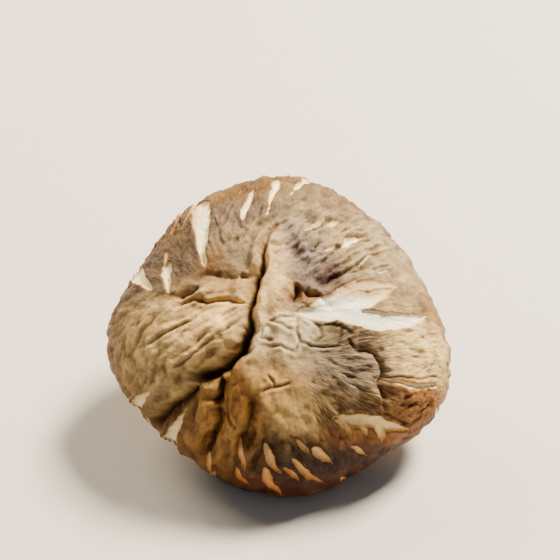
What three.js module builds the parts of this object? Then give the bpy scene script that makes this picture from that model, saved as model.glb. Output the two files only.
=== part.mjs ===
// A dried shiitake mushroom, lying cap up on the front of its rolled rim and on the foot of its stem.
// Millimetres, +Z up. The origin is on the surface that it lies on, under the middle of its box.
// It grew as one body. Its three colours are three solids: the brown cap, the golden gills, the pale stem.
// Each is shaped in the cap's own frame: u to the right, v up the slope of the leaning cap, w out of
// the crown, with w = 0 near the widest ring. One group then leans that frame and sets it down.
import * as THREE from "three";
import { mergeGeometries, mergeVertices } from "three/addons/utils/BufferGeometryUtils.js";

const DEG = Math.PI / 180;
const FULL_TURN = 2 * Math.PI;

// Driving sizes.
const CAP_RADIUS = 25;
const LEAN = 35 * DEG;
const CAP_MIDDLE = new THREE.Vector3(0.22, -0.88, 17.6);
const SEAM = 0.3;

// Half section of the skin, from the crown over the widest ring and under to the inner lip: radius, height.
const SKIN_SECTION = [
  [0, 13.0],
  [6.2, 12.8],
  [12.4, 11.5],
  [18.0, 8.8],
  [22.1, 5.2],
  [24.3, 1.9],
  [CAP_RADIUS, -1.1],
  [24.4, -4.0],
  [22.5, -6.0],
  [20.2, -5.8],
  [18.8, -4.2],
];

// The outline swells and flattens. Each wave has a count round the cap, a share of the radius and a turn.
const OUTLINE_WAVES = [
  { count: 2, size: 0.03, turn: 310 },
  { count: 3, size: 0.03, turn: 255 },
  { count: 4, size: 0.03, turn: 340 },
  { count: 5, size: 0.02, turn: 250 },
  { count: 7, size: 0.01, turn: 205 },
];

// The rim also rose and sank as it dried. Sizes are along the axis, and the waves grow between two lengths
// from the crown.
const RIM_WAVES = [
  { count: 3, size: 0.5, turn: 20 },
  { count: 5, size: 0.35, turn: 130 },
  { count: 9, size: 0.22, turn: 75 },
];
const RIM_WAVES_START = 10;
const RIM_WAVES_FULL = 27;

// The front of the rim, which it lies on, drops at two places: the angle of each and how far it drops.
const LOW_PLACES = [
  { turn: -112, drop: 2.9 },
  { turn: -68, drop: 0.9 },
];
const LOW_PLACE_HALF_WIDTH = 10 * DEG;

// The flesh over the gills is a shallow dome inside the rim, drawn on a few rings down to its middle.
const CEILING_HEIGHT = 3.0;
const CEILING_FALL = 0.0065;
const CEILING_RINGS = [18.3, 12, 6, 0];

// Grid of the cap: rings from the crown to just past the widest ring, then bands round the rolled rim.
const CROWN_RINGS = 28;
const CROWN_LENGTH = 30.5;
const ROUND_COUNT = 8 * CROWN_RINGS;
const RIM_BANDS = 6;

// The relief of the skin fades out where the rim has rolled in, between these lengths from the inner lip.
const RELIEF_NONE = 0.5;
const RELIEF_FULL = 4;

// Gills hang from a thin layer under the ceiling. The first of every four runs to the stem, and the others
// start at a radius of their own.
const GILL_COUNT = 56;
const GILL_HOLE = 5.2;
const GILL_STARTS = [GILL_HOLE, 10.6, 8.0, 12.6];
const GILL_RADIUS = 17.9;
const GILL_LAYER = 1.0;
const GILL_DEPTH = 3.0;
const GILL_DEPTH_AT_STEM = 1.8;
const GILL_SLOPE = 2.5;
const GILL_HALF_THICKNESS = 0.3;
const GILL_BANDS = 6;

// The stem's middle line in the cap's frame, its radius along it, and the grooves that run down it.
const STEM_LINE = [
  [0, 0, 2.6],
  [-0.2, 0.1, -3.0],
  [-1.5, 0.7, -8.5],
  [-2.9, 1.4, -13.2],
  [-3.0, 2.3, -17.2],
  [-0.7, 3.1, -20.3],
  [3.2, 3.6, -21.6],
];
const STEM_RADII = [4.7, 4.4, 3.8, 3.5, 3.8, 4.1, 2.9];
const STEM_GROOVES = [
  { count: 2, size: 0.09, turn: 40, twist: 60 },
  { count: 3, size: 0.05, turn: 150, twist: -80 },
  { count: 7, size: 0.05, turn: 10, twist: 90 },
];
const STEM_GROOVES_START = 0.12;
const STEM_GROOVES_FULL = 0.4;
const STEM_ROUNDS_FROM = 0.86;
const STEM_ROUNDS_TO = 1.1;
const STEM_SIDES = 28;
const STEM_BANDS = 24;

// Folds that the cap took as it dried. Points are millimetres along the skin from the crown, to the right
// and up the slope. depth is how far the furrow sinks, and swell how far its banks stand proud.
const FOLDS = [
  // The main furrow, from the far side past the crown to the near left.
  {
    route: [
      [-1.2, 14.0],
      [-2.0, 9.6],
      [-3.2, 5.4],
      [-3.7, 1.8],
      [-3.8, -1.6],
      [-6.2, -5.8],
      [-9.8, -9.4],
      [-14.0, -10.8],
    ],
    depth: 3.0,
    width: 1.5,
    swell: 1.0,
  },
  // Short furrows that leave it to the left.
  { route: [[-3.4, 5.2], [-6.2, 5.2], [-9.2, 6.0], [-12.8, 3.9]], depth: 1.0, width: 1.1, swell: 0.5 },
  { route: [[-3.6, 1.6], [-8.3, 1.9], [-13.9, 1.7]], depth: 1.6, width: 1.1, swell: 0.7 },
  // The pit and the valleys that fan out below it.
  { route: [[-9.2, -9.6], [-10.3, -13.6]], depth: 1.8, width: 1.2, swell: 0.3 },
  { route: [[-12.6, -10.4], [-16.6, -13.9], [-21.5, -17.6]], depth: 1.8, width: 1.3, swell: 0.5 },
  { route: [[-10.3, -13.0], [-11.2, -17.1], [-14.2, -23.5]], depth: 1.7, width: 1.1, swell: 0.5 },
  { route: [[-5.2, -11.5], [-5.0, -15.9], [-8.3, -22.5]], depth: 1.6, width: 1.1, swell: 0.5 },
  { route: [[-3.4, -14.6], [-2.2, -18.8], [-0.4, -24.0]], depth: 1.0, width: 1.1, swell: 0.3 },
  // The small red pit right of the crown, and the furrow across the right shoulder.
  { route: [[2.6, 4.2], [2.1, 2.0]], depth: 1.5, width: 1.1, swell: 0.5 },
  { route: [[9.6, -4.4], [13.1, -5.4], [14.4, -8.8], [15.6, -14.0]], depth: 0.9, width: 1.1, swell: 0.3 },
  // Shallow valleys of the far side.
  { route: [[5.0, 4.2], [9.6, 6.6], [16.0, 9.0]], depth: 0.9, width: 1.2, swell: 0.4 },
  { route: [[2.6, 8.6], [6.4, 12.4], [11.4, 17.4]], depth: 0.8, width: 1.2, swell: 0.4 },
];
// A fold fades in over a share of its length. In fold widths, its banks lie this far off and are this wide.
const FOLD_FADE = 0.18;
const BANK_OFF = 2.1;
const BANK_WIDTH = 1.3;

// Broad lumps between the folds: middle, length and breadth, turn in degrees, height.
const LUMPS = [
  { middle: [-9.0, -2.6], size: [6.5, 3.4], turn: 35, height: 1.3 },
  { middle: [-8.2, 3.6], size: [4.4, 1.3], turn: 0, height: 0.8 },
  { middle: [-8.6, 9.6], size: [4.0, 3.4], turn: 60, height: 0.9 },
  { middle: [-0.9, 1.5], size: [1.6, 6.0], turn: 8, height: 1.2 },
  { middle: [-5.0, -11.0], size: [2.2, 3.4], turn: -20, height: 1.0 },
  { middle: [12.5, -10.5], size: [5.0, 3.8], turn: -30, height: 0.6 },
  { middle: [18.2, -11.5], size: [3.0, 3.6], turn: 0, height: 0.8 },
  { middle: [-19.0, -3.0], size: [4.0, 6.0], turn: 0, height: 0.7 },
];

// Cracks that opened the skin down to the white flesh: from tip to end along the skin, and greatest width.
const CRACKS = [
  { route: [[2.1, 0.1], [6.7, 0.3], [11.0, -0.6], [16.4, -1.4], [24.2, 0.2]], width: 2.9 },
  { route: [[4.6, 0.7], [9.4, 2.2], [13.4, 3.6], [18.8, 4.6]], width: 3.3 },
  { route: [[-11.3, 6.6], [-12.2, 12.0], [-13.8, 20.4]], width: 2.3 },
  { route: [[-20.0, 4.7], [-27.6, 10.4]], width: 2.6 },
  { route: [[-5.9, 15.6], [-5.3, 19.0], [-3.9, 22.0]], width: 1.2 },
  { route: [[-1.8, 16.4], [-1.0, 20.0], [0.4, 25.0]], width: 1.4 },
  { route: [[1.3, 20.2], [2.9, 23.6], [5.8, 29.0]], width: 1.5 },
  { route: [[10.4, 11.6], [13.6, 14.2]], width: 1.3 },
  { route: [[-20.4, -10.8], [-28.8, -15.2]], width: 2.2 },
  { route: [[-15.8, -15.6], [-18.8, -18.8], [-22.4, -24.0]], width: 2.4 },
  { route: [[-6.4, -19.8], [-6.2, -22.3], [-5.7, -28.2]], width: 1.5 },
  { route: [[-2.8, -23.0], [-0.9, -26.9], [2.6, -32.4]], width: 1.9 },
  { route: [[4.6, -19.6], [6.8, -21.7], [8.8, -23.6]], width: 1.5 },
  { route: [[1.8, -22.0], [4.8, -24.8], [8.6, -28.0]], width: 1.3 },
  { route: [[8.6, -15.9], [13.2, -16.3], [17.2, -16.3], [22.4, -17.4]], width: 1.9 },
  { route: [[15.8, -9.1], [20.7, -9.6], [25.4, -9.2]], width: 1.3 },
  { route: [[11.0, -19.4], [16.4, -23.2]], width: 1.4 },
];
// A crack is never narrower than the grid can hold: towards its ends it gets shallower in place of that.
const CRACK_DEPTH = 0.7;
const CRACK_FLOOR_SHARE = 0.2;
const CRACK_LEAST_HALF_WIDTH = 1.1;
const CRACK_SKEW = 0.8;
const CRACK_BLUNTNESS = 0.7;
const CRACK_FULL_DEPTH_AT = 0.6;

// Short splits all round the rolled rim: the lengths from the crown where they start and end, and the width.
// Each differs from the next by waves of these sizes, which never fall in step with each other.
const SPLIT_COUNT = 26;
const SPLIT_START = { middle: 27.5, wave: 1.5, pace: 2.3 };
const SPLIT_END = { middle: 35.0, wave: 2.0, pace: 3.7 };
const SPLIT_WIDTH = { middle: 1.05, wave: 0.5, pace: 1.9 };
const SPLIT_SHIFT = { middle: 0, wave: 0.3, pace: 5.1 };
const SPLIT_BEND = { middle: 0, wave: 0.03, pace: 1.0 };

/** Rises smoothly from 0 at low to 1 at high. */
function ramp(x, low, high) {
  return THREE.MathUtils.smoothstep(x, low, high);
}

/** A bell of height 1, which has fallen to 0.37 at the given width from its middle. */
function bell(off, width) {
  return Math.exp(-((off / width) ** 2));
}

/** Sum of waves round a full turn at an angle, with a twist along the piece where the wave has one. */
function waves(list, angle, along = 0) {
  const heights = list.map(({ count, size, turn, twist = 0 }) => {
    return size * Math.cos(count * angle - (turn + twist * along) * DEG);
  });
  return heights.reduce((sum, height) => sum + height, 0);
}

/** A point of the cap's frame, from its distance off the axis, its angle and its height. */
function roundPoint(radius, angle, height) {
  return new THREE.Vector3(radius * Math.cos(angle), radius * Math.sin(angle), height);
}

/** Rounds an angle, so that vertices of two grids meet exactly where the grids meet. */
function sharedAngle(angle) {
  return Number(((angle + FULL_TURN) % FULL_TURN).toFixed(8));
}

/** Places the vertices of a geometry again, each by its first position, and drops all else. */
function reshape(geometry, place) {
  const position = geometry.getAttribute("position");
  for (let i = 0; i < position.count; i++) {
    const point = place(position.getX(i), position.getY(i), position.getZ(i));
    position.setXYZ(i, point.x, point.y, point.z);
  }
  geometry.deleteAttribute("normal");
  geometry.deleteAttribute("uv");
  return geometry;
}

/** Joins geometries at their shared vertices, and drops triangles that closed up to a line or a point. */
function weld(geometries) {
  const welded = mergeVertices(mergeGeometries(geometries), 1e-4);
  const index = welded.getIndex().array;
  const kept = [];
  for (let i = 0; i < index.length; i += 3) {
    const [a, b, c] = index.subarray(i, i + 3);
    if (a !== b && b !== c && c !== a) kept.push(a, b, c);
  }
  welded.setIndex(kept);
  welded.computeVertexNormals();
  return welded;
}

/** Nearest place on a route: how far off it is, and how far along the route from 0 to 1. */
function nearest(route, x, y) {
  const legs = route.slice(1).map(([bx, by], i) => {
    const [ax, ay] = route[i];
    return { ax, ay, dx: bx - ax, dy: by - ay, length: Math.hypot(bx - ax, by - ay) };
  });
  const total = legs.reduce((sum, leg) => sum + leg.length, 0);
  let before = 0;
  let best = { off: Infinity, along: 0 };
  for (const { ax, ay, dx, dy, length } of legs) {
    const share = THREE.MathUtils.clamp(((x - ax) * dx + (y - ay) * dy) / length ** 2, 0, 1);
    const off = Math.hypot(x - ax - share * dx, y - ay - share * dy);
    if (off < best.off) best = { off, along: (before + share * length) / total };
    before += length;
  }
  return best;
}

/** How far the folds move the skin: the deepest furrow at a place, with the highest bank beside it. */
function foldRelief(x, y) {
  let sink = 0;
  let rise = 0;
  for (const { route, depth, width, swell } of FOLDS) {
    const { off, along } = nearest(route, x, y);
    const fade = ramp(along, 0, FOLD_FADE) * ramp(1 - along, 0, FOLD_FADE);
    sink = Math.max(sink, fade * depth * bell(off, width));
    rise = Math.max(rise, fade * swell * bell(off - BANK_OFF * width, BANK_WIDTH * width));
  }
  return rise / (1 + sink) - sink;
}

/** How far one lump raises the skin. */
function lumpRelief({ middle, size, turn, height }, x, y) {
  const middlePoint = new THREE.Vector2(...middle);
  const place = new THREE.Vector2(x, y).rotateAround(middlePoint, -turn * DEG).sub(middlePoint);
  return height * bell(place.x, size[0]) * bell(place.y, size[1]);
}

/** Share of the crack's depth at a place: 1 along its middle, 0 outside, and less towards its ends. */
function crackShare({ route, width }, x, y) {
  const { off, along } = nearest(route, x, y);
  const opening = Math.sin(Math.PI * along ** CRACK_SKEW) ** CRACK_BLUNTNESS;
  const half = Math.max((width / 2) * opening, CRACK_LEAST_HALF_WIDTH);
  return Math.min(1, opening / CRACK_FULL_DEPTH_AT) * (1 - ramp(off, CRACK_FLOOR_SHARE * half, half));
}

/** The value of a split's own wave for one split. */
function splitValue({ middle, wave, pace }, i) {
  return middle + wave * Math.sin(pace * i);
}

const rimSplits = Array.from({ length: SPLIT_COUNT }, (_, i) => {
  const angle = ((i + splitValue(SPLIT_SHIFT, i)) / SPLIT_COUNT) * FULL_TURN;
  const start = roundPoint(splitValue(SPLIT_START, i), angle, 0);
  const end = roundPoint(splitValue(SPLIT_END, i), angle + splitValue(SPLIT_BEND, i), 0);
  return { route: [[start.x, start.y], [end.x, end.y]], width: splitValue(SPLIT_WIDTH, i) };
});
const allCracks = [...CRACKS, ...rimSplits];

const skin = new THREE.SplineCurve(SKIN_SECTION.map((point) => new THREE.Vector2(...point)));
const skinLength = skin.getLength();

/** Outline at an angle, as a share of the cap's radius. */
function outline(angle) {
  return 1 + waves(OUTLINE_WAVES, angle);
}

/** How far the rim rises at an angle. */
function rimRise(angle) {
  const drops = LOW_PLACES.map(({ turn, drop }) => {
    const off = angle - turn * DEG;
    return drop * bell(Math.atan2(Math.sin(off), Math.cos(off)), LOW_PLACE_HALF_WIDTH);
  });
  return drops.reduce((rise, drop) => rise - drop, waves(RIM_WAVES, angle));
}

/** All the relief of the skin at a length from the crown and an angle. */
function relief(length, angle) {
  const { x, y } = roundPoint(length, angle, 0);
  const lumps = LUMPS.reduce((sum, lump) => sum + lumpRelief(lump, x, y), 0);
  const crack = Math.max(...allCracks.map((one) => crackShare(one, x, y)));
  const fade = ramp(skinLength - length, RELIEF_NONE, RELIEF_FULL);
  return fade * (foldRelief(x, y) + lumps - CRACK_DEPTH * crack);
}

/** A point of the skin at a length from the crown and an angle. Its relief stands at right angles to it. */
function skinPoint(length, angle) {
  const share = Math.min(length / skinLength, 1);
  const section = skin.getPointAt(share);
  const along = skin.getTangentAt(share);
  const rise = ramp(length, RIM_WAVES_START, RIM_WAVES_FULL) * rimRise(angle);
  const raised = relief(length, angle);
  const radius = section.x * outline(angle) - along.y * raised;
  return roundPoint(radius, angle, section.y + rise + along.x * raised);
}

/** Presses a point that lies below the surface up to it, where the mushroom rests. */
function settle(point) {
  const height = CAP_MIDDLE.z + point.y * Math.sin(LEAN) + point.z * Math.cos(LEAN);
  if (height < 0) {
    point.y -= height * Math.sin(LEAN);
    point.z -= height * Math.cos(LEAN);
  }
  return point;
}

/** Height of the flesh over the gills. */
function ceiling(radius) {
  return CEILING_HEIGHT - CEILING_FALL * radius ** 2;
}

/** The crown: a square grid drawn out into rings, so that no triangle is a sliver. */
function crownGeometry() {
  const crown = new THREE.PlaneGeometry(2, 2, 2 * CROWN_RINGS, 2 * CROWN_RINGS);
  return reshape(crown, (x, y) => {
    const ring = Math.max(Math.abs(x), Math.abs(y));
    if (ring === 0) return skinPoint(0, 0);
    const onSide = Math.abs(x) >= Math.abs(y);
    const angle = onSide
      ? (Math.PI / 4) * (y / x) + (x < 0 ? Math.PI : 0)
      : Math.PI / 2 - (Math.PI / 4) * (x / y) + (y < 0 ? Math.PI : 0);
    return settle(skinPoint(ring * CROWN_LENGTH, sharedAngle(angle)));
  });
}

/** The bands of the rolled rim, and the hollow that they lead into. */
function rimGeometry() {
  const bandCount = RIM_BANDS + CEILING_RINGS.length;
  const bandLength = (skinLength - CROWN_LENGTH) / RIM_BANDS;
  return reshape(new THREE.RingGeometry(1, 2, ROUND_COUNT, bandCount), (x, y) => {
    const band = Math.round((Math.hypot(x, y) - 1) * bandCount);
    const angle = sharedAngle(Math.atan2(y, x));
    if (band <= RIM_BANDS) return settle(skinPoint(CROWN_LENGTH + band * bandLength, angle));
    const radius = CEILING_RINGS[band - RIM_BANDS - 1];
    return roundPoint(radius * outline(angle), angle, ceiling(radius));
  });
}

/** How deep a gill hangs at a radius: from nothing at the rim and at its own start to its full depth. */
function gillDepth(gill, radius) {
  const start = GILL_STARTS[gill % GILL_STARTS.length];
  const least = start === GILL_HOLE ? GILL_DEPTH_AT_STEM : 0;
  const depth = least + (GILL_DEPTH - least) * ramp(radius, start, start + GILL_SLOPE);
  return depth * ramp(GILL_RADIUS - radius, 0, GILL_SLOPE);
}

/** The four corners of one pitch of the gills: both faces of the blade, then both ends of the valley. */
function gillCorners(radius, pitch) {
  const blade = Math.min(GILL_HALF_THICKNESS / radius, pitch / 3);
  const root = blade + (pitch / 2 - blade) / 3;
  return [-blade, blade, root, pitch - root];
}

/** The gills: a closed section turned round the axis, with its underside drawn down gill by gill. */
function gillGeometry() {
  const span = GILL_RADIUS - GILL_HOLE;
  const under = Array.from({ length: GILL_BANDS + 1 }, (_, i) => {
    return new THREE.Vector2(GILL_HOLE + (i / GILL_BANDS) * span, 0);
  });
  const over = [GILL_RADIUS, GILL_HOLE + span / 2, GILL_HOLE].map((radius) => new THREE.Vector2(radius, 1));
  const stepsPerGill = 4;
  const stepCount = GILL_COUNT * stepsPerGill;
  const turned = new THREE.LatheGeometry([...under, ...over, under[0]], stepCount);
  const pitch = FULL_TURN / GILL_COUNT;
  reshape(turned, (x, y, z) => {
    const radius = Math.hypot(x, z);
    const step = Math.round((Math.atan2(x, z) / FULL_TURN + 1) * stepCount) % stepCount;
    const gill = Math.floor(step / stepsPerGill);
    const corner = step % stepsPerGill;
    const angle = gill * pitch + gillCorners(radius, pitch)[corner];
    const lobed = ramp(radius, GILL_HOLE, 2 * GILL_HOLE) * (outline(angle) - 1);
    const top = ceiling(radius) - SEAM;
    const hangs = corner < 2 ? gillDepth(gill, radius) : 0;
    return roundPoint(radius * (1 + lobed), angle, y === 1 ? top : top - GILL_LAYER - hangs);
  });
  return weld([turned]);
}

/** The stem: a cylinder drawn along its bent middle line, grooved, and rounded off at its torn foot. */
function stemGeometry() {
  const points = STEM_LINE.map((point) => new THREE.Vector3(...point));
  const line = new THREE.CatmullRomCurve3(points, false, "catmullrom");
  const last = STEM_RADII.length - 1;
  const girth = new THREE.SplineCurve(STEM_RADII.map((radius, i) => new THREE.Vector2(i / last, radius)));
  const frames = line.computeFrenetFrames(STEM_BANDS, false);
  const cylinder = new THREE.CylinderGeometry(1, 1, 1, STEM_SIDES, STEM_BANDS);
  reshape(cylinder, (x, y, z) => {
    const along = 0.5 - y;
    const band = Math.round(along * STEM_BANDS);
    const angle = Math.atan2(z, x);
    const rounding = Math.sqrt(1 - ramp(along, STEM_ROUNDS_FROM, STEM_ROUNDS_TO) ** 2);
    const grooves = ramp(along, STEM_GROOVES_START, STEM_GROOVES_FULL) * waves(STEM_GROOVES, angle, along);
    const radius = Math.hypot(x, z) * girth.getPoint(along).y * rounding * (1 + grooves);
    const point = line
      .getPointAt(along)
      .addScaledVector(frames.normals[band], radius * Math.cos(angle))
      .addScaledVector(frames.binormals[band], radius * Math.sin(angle));
    point.z = Math.min(point.z, ceiling(Math.hypot(point.x, point.y)) - SEAM);
    return settle(point);
  });
  return weld([cylinder]);
}

const pieces = {
  cap: { geometry: weld([crownGeometry(), rimGeometry()]), color: 0x8f7354, roughness: 0.85 },
  gills: { geometry: gillGeometry(), color: 0xdcb568, roughness: 0.8 },
  stem: { geometry: stemGeometry(), color: 0xc9ad7c, roughness: 0.85 },
};

const mushroom = new THREE.Group();
for (const [name, { geometry, color, roughness }] of Object.entries(pieces)) {
  const mesh = new THREE.Mesh(geometry, new THREE.MeshStandardMaterial({ color, roughness, metalness: 0 }));
  mesh.name = name;
  mushroom.add(mesh);
}
mushroom.rotation.x = LEAN;
mushroom.position.copy(CAP_MIDDLE);

export default mushroom;
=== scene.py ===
"""A dried shiitake mushroom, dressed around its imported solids.

The skin of the cap is laid out flat as a disc of unrolled millimetres, where its folds and cracks are drawn.
The disc is then rolled over the cap's half section, and the whole cap leans until it lies on its front rim
and on the foot of its stem. Sizes are millimetres in the cap's own frame: u to the right, v up the slope, w
out of the crown. A finished mesh is in metres, in the frame of the solids.
"""

from __future__ import annotations

import logging
import math
from dataclasses import dataclass, field
from enum import Enum
from typing import Sequence

import bmesh
import bpy
import numpy as np
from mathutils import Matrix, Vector, noise

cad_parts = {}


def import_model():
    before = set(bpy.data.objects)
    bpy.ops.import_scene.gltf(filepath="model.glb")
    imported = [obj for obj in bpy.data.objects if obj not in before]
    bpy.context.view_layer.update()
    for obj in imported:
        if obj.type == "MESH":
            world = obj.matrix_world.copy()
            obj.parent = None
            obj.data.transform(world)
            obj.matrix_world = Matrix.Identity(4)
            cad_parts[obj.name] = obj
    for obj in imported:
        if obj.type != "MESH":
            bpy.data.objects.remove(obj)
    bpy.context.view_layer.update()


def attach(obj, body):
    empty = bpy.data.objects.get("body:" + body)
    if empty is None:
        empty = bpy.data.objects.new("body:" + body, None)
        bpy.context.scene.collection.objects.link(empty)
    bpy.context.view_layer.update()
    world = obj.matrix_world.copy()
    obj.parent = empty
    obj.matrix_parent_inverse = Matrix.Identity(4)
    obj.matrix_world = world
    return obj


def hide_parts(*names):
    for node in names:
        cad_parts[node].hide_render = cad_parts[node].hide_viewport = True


LOG = logging.getLogger("shiitake")

Field = np.ndarray
Pair = tuple[float, float]
Triple = tuple[float, float, float]
Route = Sequence[Pair]
Tone = tuple[int, int, int]
Colour = tuple[float, float, float, float]
Node = bpy.types.Node
Socket = bpy.types.NodeSocket

MM = 0.001
FULL_TURN = 2 * math.pi
MERGE_REACH = 1e-5
HOLLOW_LEVEL = -1


def ramp(x: Field | float, low: float, high: float) -> Field:
    """Rises smoothly from 0 to 1.

    Args:
        x: Where to read it.
        low: Below this it is 0.
        high: Above this it is 1.

    Returns:
        The height of the ramp at x.
    """
    share = np.clip((np.asarray(x, dtype=float) - low) / (high - low), 0, 1)
    return share * share * (3 - 2 * share)


def hump(x: Field, middle: float, width: float) -> Field:
    """A bell curve of height 1.

    Args:
        x: Where to read it.
        middle: Where it peaks.
        width: How far from its peak it has fallen to 0.37.

    Returns:
        The height of the bell at x.
    """
    return np.exp(-(((x - middle) / width) ** 2))


def spline(points: Sequence[Sequence[float]], share: Field) -> Field:
    """A smooth curve through points that are evenly spaced along its share.

    Args:
        points: The points, of any dimension.
        share: Places along the curve, from 0 to 1.

    Returns:
        One point of the curve for each share.
    """
    knots = np.asarray(points, dtype=float)
    last = len(knots) - 1
    place = np.clip(np.asarray(share, dtype=float), 0, 1) * last
    step = np.minimum(np.floor(place).astype(int), last - 1)
    t = (place - step)[..., None]
    before = knots[np.maximum(step - 1, 0)]
    start = knots[step]
    end = knots[step + 1]
    after = knots[np.minimum(step + 2, last)]
    leave = (end - before) / 2
    arrive = (after - start) / 2
    bend = 2 * start - 2 * end + leave + arrive
    swing = 3 * end - 3 * start - 2 * leave - arrive
    return ((bend * t + swing) * t + leave) * t + start


def grain(places: Field, size: float, seed: float) -> Field:
    """Smooth noise from about -1 to 1.

    Args:
        places: Points to read it at, as rows of three.
        size: How far apart its swells are.
        seed: Picks another stretch of the same noise.

    Returns:
        One value for each point.
    """
    shifted = places / size + seed
    return np.fromiter((noise.noise(Vector(row)) for row in shifted), dtype=float, count=len(shifted))


def linear(red: int, green: int, blue: int) -> Colour:
    """Turns a screen colour from 0 to 255 into the linear colour that shaders take.

    Args:
        red: Share of red.
        green: Share of green.
        blue: Share of blue.

    Returns:
        The linear colour, with an alpha of 1.
    """
    shares = (red / 255, green / 255, blue / 255)
    return (*(s / 12.92 if s <= 0.04045 else ((s + 0.055) / 1.055) ** 2.4 for s in shares), 1.0)


def turned(x: Field, y: Field, degrees: float) -> tuple[Field, Field]:
    """Reads points along and across a direction.

    Args:
        x: Points to the right.
        y: Points up.
        degrees: The direction, anticlockwise from the right.

    Returns:
        How far each point lies along the direction, and how far to its left.
    """
    cos = math.cos(math.radians(degrees))
    sin = math.sin(math.radians(degrees))
    return x * cos + y * sin, y * cos - x * sin


def nearest(route: Route, x: Field, y: Field) -> tuple[Field, Field, Field]:
    """Finds the nearest place on a route for each point of the flat skin.

    Args:
        route: Corners of the route.
        x: Points to the right of the crown.
        y: Points up the slope from the crown.

    Returns:
        How far off the route each point is, how far along it from 0 to 1, and whether it lies to its left.
    """
    corners = np.asarray(route, dtype=float)
    steps = np.diff(corners, axis=0)
    lengths = np.hypot(steps[:, 0], steps[:, 1])
    total = lengths.sum()
    off = np.full(x.shape, np.inf)
    along = np.zeros(x.shape)
    left = np.zeros(x.shape, dtype=bool)
    before = 0.0
    for (ax, ay), (dx, dy), length in zip(corners, steps, lengths):
        share = np.clip(((x - ax) * dx + (y - ay) * dy) / length**2, 0, 1)
        distance = np.hypot(x - ax - share * dx, y - ay - share * dy)
        closer = distance < off
        off = np.where(closer, distance, off)
        along = np.where(closer, (before + share * length) / total, along)
        left = np.where(closer, (y - ay) * dx - (x - ax) * dy > 0, left)
        before += length
    return off, along, left


def around(angle: Field, radius: float, height: Field) -> Field:
    """Wraps a pattern round an axis, so that it has no seam.

    Args:
        angle: Angles round the axis.
        radius: How far the pattern is spread round the axis.
        height: How far it is spread along the axis.

    Returns:
        Rows of three.
    """
    return np.column_stack((np.cos(angle) * radius, np.sin(angle) * radius, height))


def flat_rows(x: Field, y: Field) -> Field:
    """Points of the flat skin as rows of three."""
    return np.column_stack((x, y, np.zeros(x.shape)))


@dataclass(frozen=True)
class Wave:
    """One wave round a full turn, with a twist in degrees along the piece."""

    count: int
    size: float
    turn: float
    twist: float = 0.0

    def at(self, angle: Field, along: Field | float = 0.0) -> Field:
        """Height of the wave at an angle and a share of the piece's length."""
        return self.size * np.cos(self.count * angle - np.radians(self.turn + self.twist * along))


@dataclass(frozen=True)
class Swell:
    """Smooth uneven swelling: how far apart its swells are, the stretch of noise it reads, and its height."""

    size: float
    seed: float
    height: float

    def at(self, places: Field) -> Field:
        """Height of the swelling at rows of three."""
        return self.height * grain(places, self.size, self.seed)


def swelling(swells: Sequence[Swell], places: Field) -> Field:
    """Height of several swellings together, at rows of three."""
    return sum(swell.at(places) for swell in swells)


@dataclass(frozen=True)
class Uneven:
    """A size that differs from one repeat to the next."""

    mean: float
    swing: float
    rate: float

    def of(self, repeat: int | Field) -> float | Field:
        """The size of one repeat, or of several."""
        return self.mean + self.swing * np.sin(self.rate * repeat)


@dataclass(frozen=True)
class Fold:
    """A furrow with a raised bank on each side. Its left slope, seen along the route, may be wider."""

    route: Route
    depth: float
    width: float
    swell: float
    left_share: float = 1.0

    def at(self, x: Field, y: Field) -> tuple[Field, Field]:
        """Finds what the fold does at points of the flat skin.

        Args:
            x: Points to the right of the crown.
            y: Points up the slope.

        Returns:
            How far the furrow sinks, and how far its banks rise.
        """
        off, along, left = nearest(self.route, x, y)
        width = self.width * np.where(left, self.left_share, 1.0)
        fade = ramp(along, 0, FOLD_START) * ramp(1 - along, 0, FOLD_END)
        floor = FOLD_FLOOR * hump(off, 0, width)
        nick = FOLD_NICK * np.exp(-off / (FOLD_NICK_WIDTH * width))
        bank = hump(off, FOLD_BANK * width, FOLD_BANK_WIDTH * width)
        return fade * self.depth * (floor + nick), fade * self.swell * bank


@dataclass(frozen=True)
class Lump:
    """A broad swelling between the folds."""

    middle: Pair
    size: Pair
    turn: float
    height: float

    def at(self, x: Field, y: Field) -> Field:
        """Height of the lump at points of the flat skin."""
        along, across = turned(x - self.middle[0], y - self.middle[1], self.turn)
        return self.height * hump(along, 0, self.size[0]) * hump(across, 0, self.size[1])


@dataclass(frozen=True)
class Wrinkles:
    """A patch of small ridges that all run one way."""

    middle: Pair
    reach: Pair
    turn: float
    length: float
    spacing: float
    height: float

    def at(self, x: Field, y: Field) -> Field:
        """Finds the ridges at points of the flat skin.

        Args:
            x: Points to the right of the crown.
            y: Points up the slope.

        Returns:
            Their height.
        """
        dx = x - self.middle[0]
        dy = y - self.middle[1]
        share = hump(dx, 0, self.reach[0]) * hump(dy, 0, self.reach[1])
        along, across = turned(dx, dy, self.turn)
        places = flat_rows(along / self.length, across / self.spacing)
        finer = Swell(WRINKLE_FINER, self.turn + WRINKLE_SHIFT, WRINKLE_FINER)
        rows = grain(places, 1.0, self.turn) + finer.at(places)
        return self.height * share * (WRINKLE_BASE + WRINKLE_SWING * rows - WRINKLE_CREST * np.abs(rows))


class Opening(Enum):
    """How wide a crack is from its first point to its last."""

    SPINDLE = "pointed at both ends"
    WEDGE = "widening to its last point"

    def spread(self, along: Field) -> Field:
        """Finds how wide a crack is.

        Args:
            along: Shares of its length.

        Returns:
            Shares of its greatest width.
        """
        widening = np.clip(along, 0, 1) ** CRACK_WIDENING
        if self is Opening.SPINDLE:
            return np.sin(np.pi * widening) ** CRACK_BLUNTNESS
        return widening * (1 - ramp(along, *CRACK_END))


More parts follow.
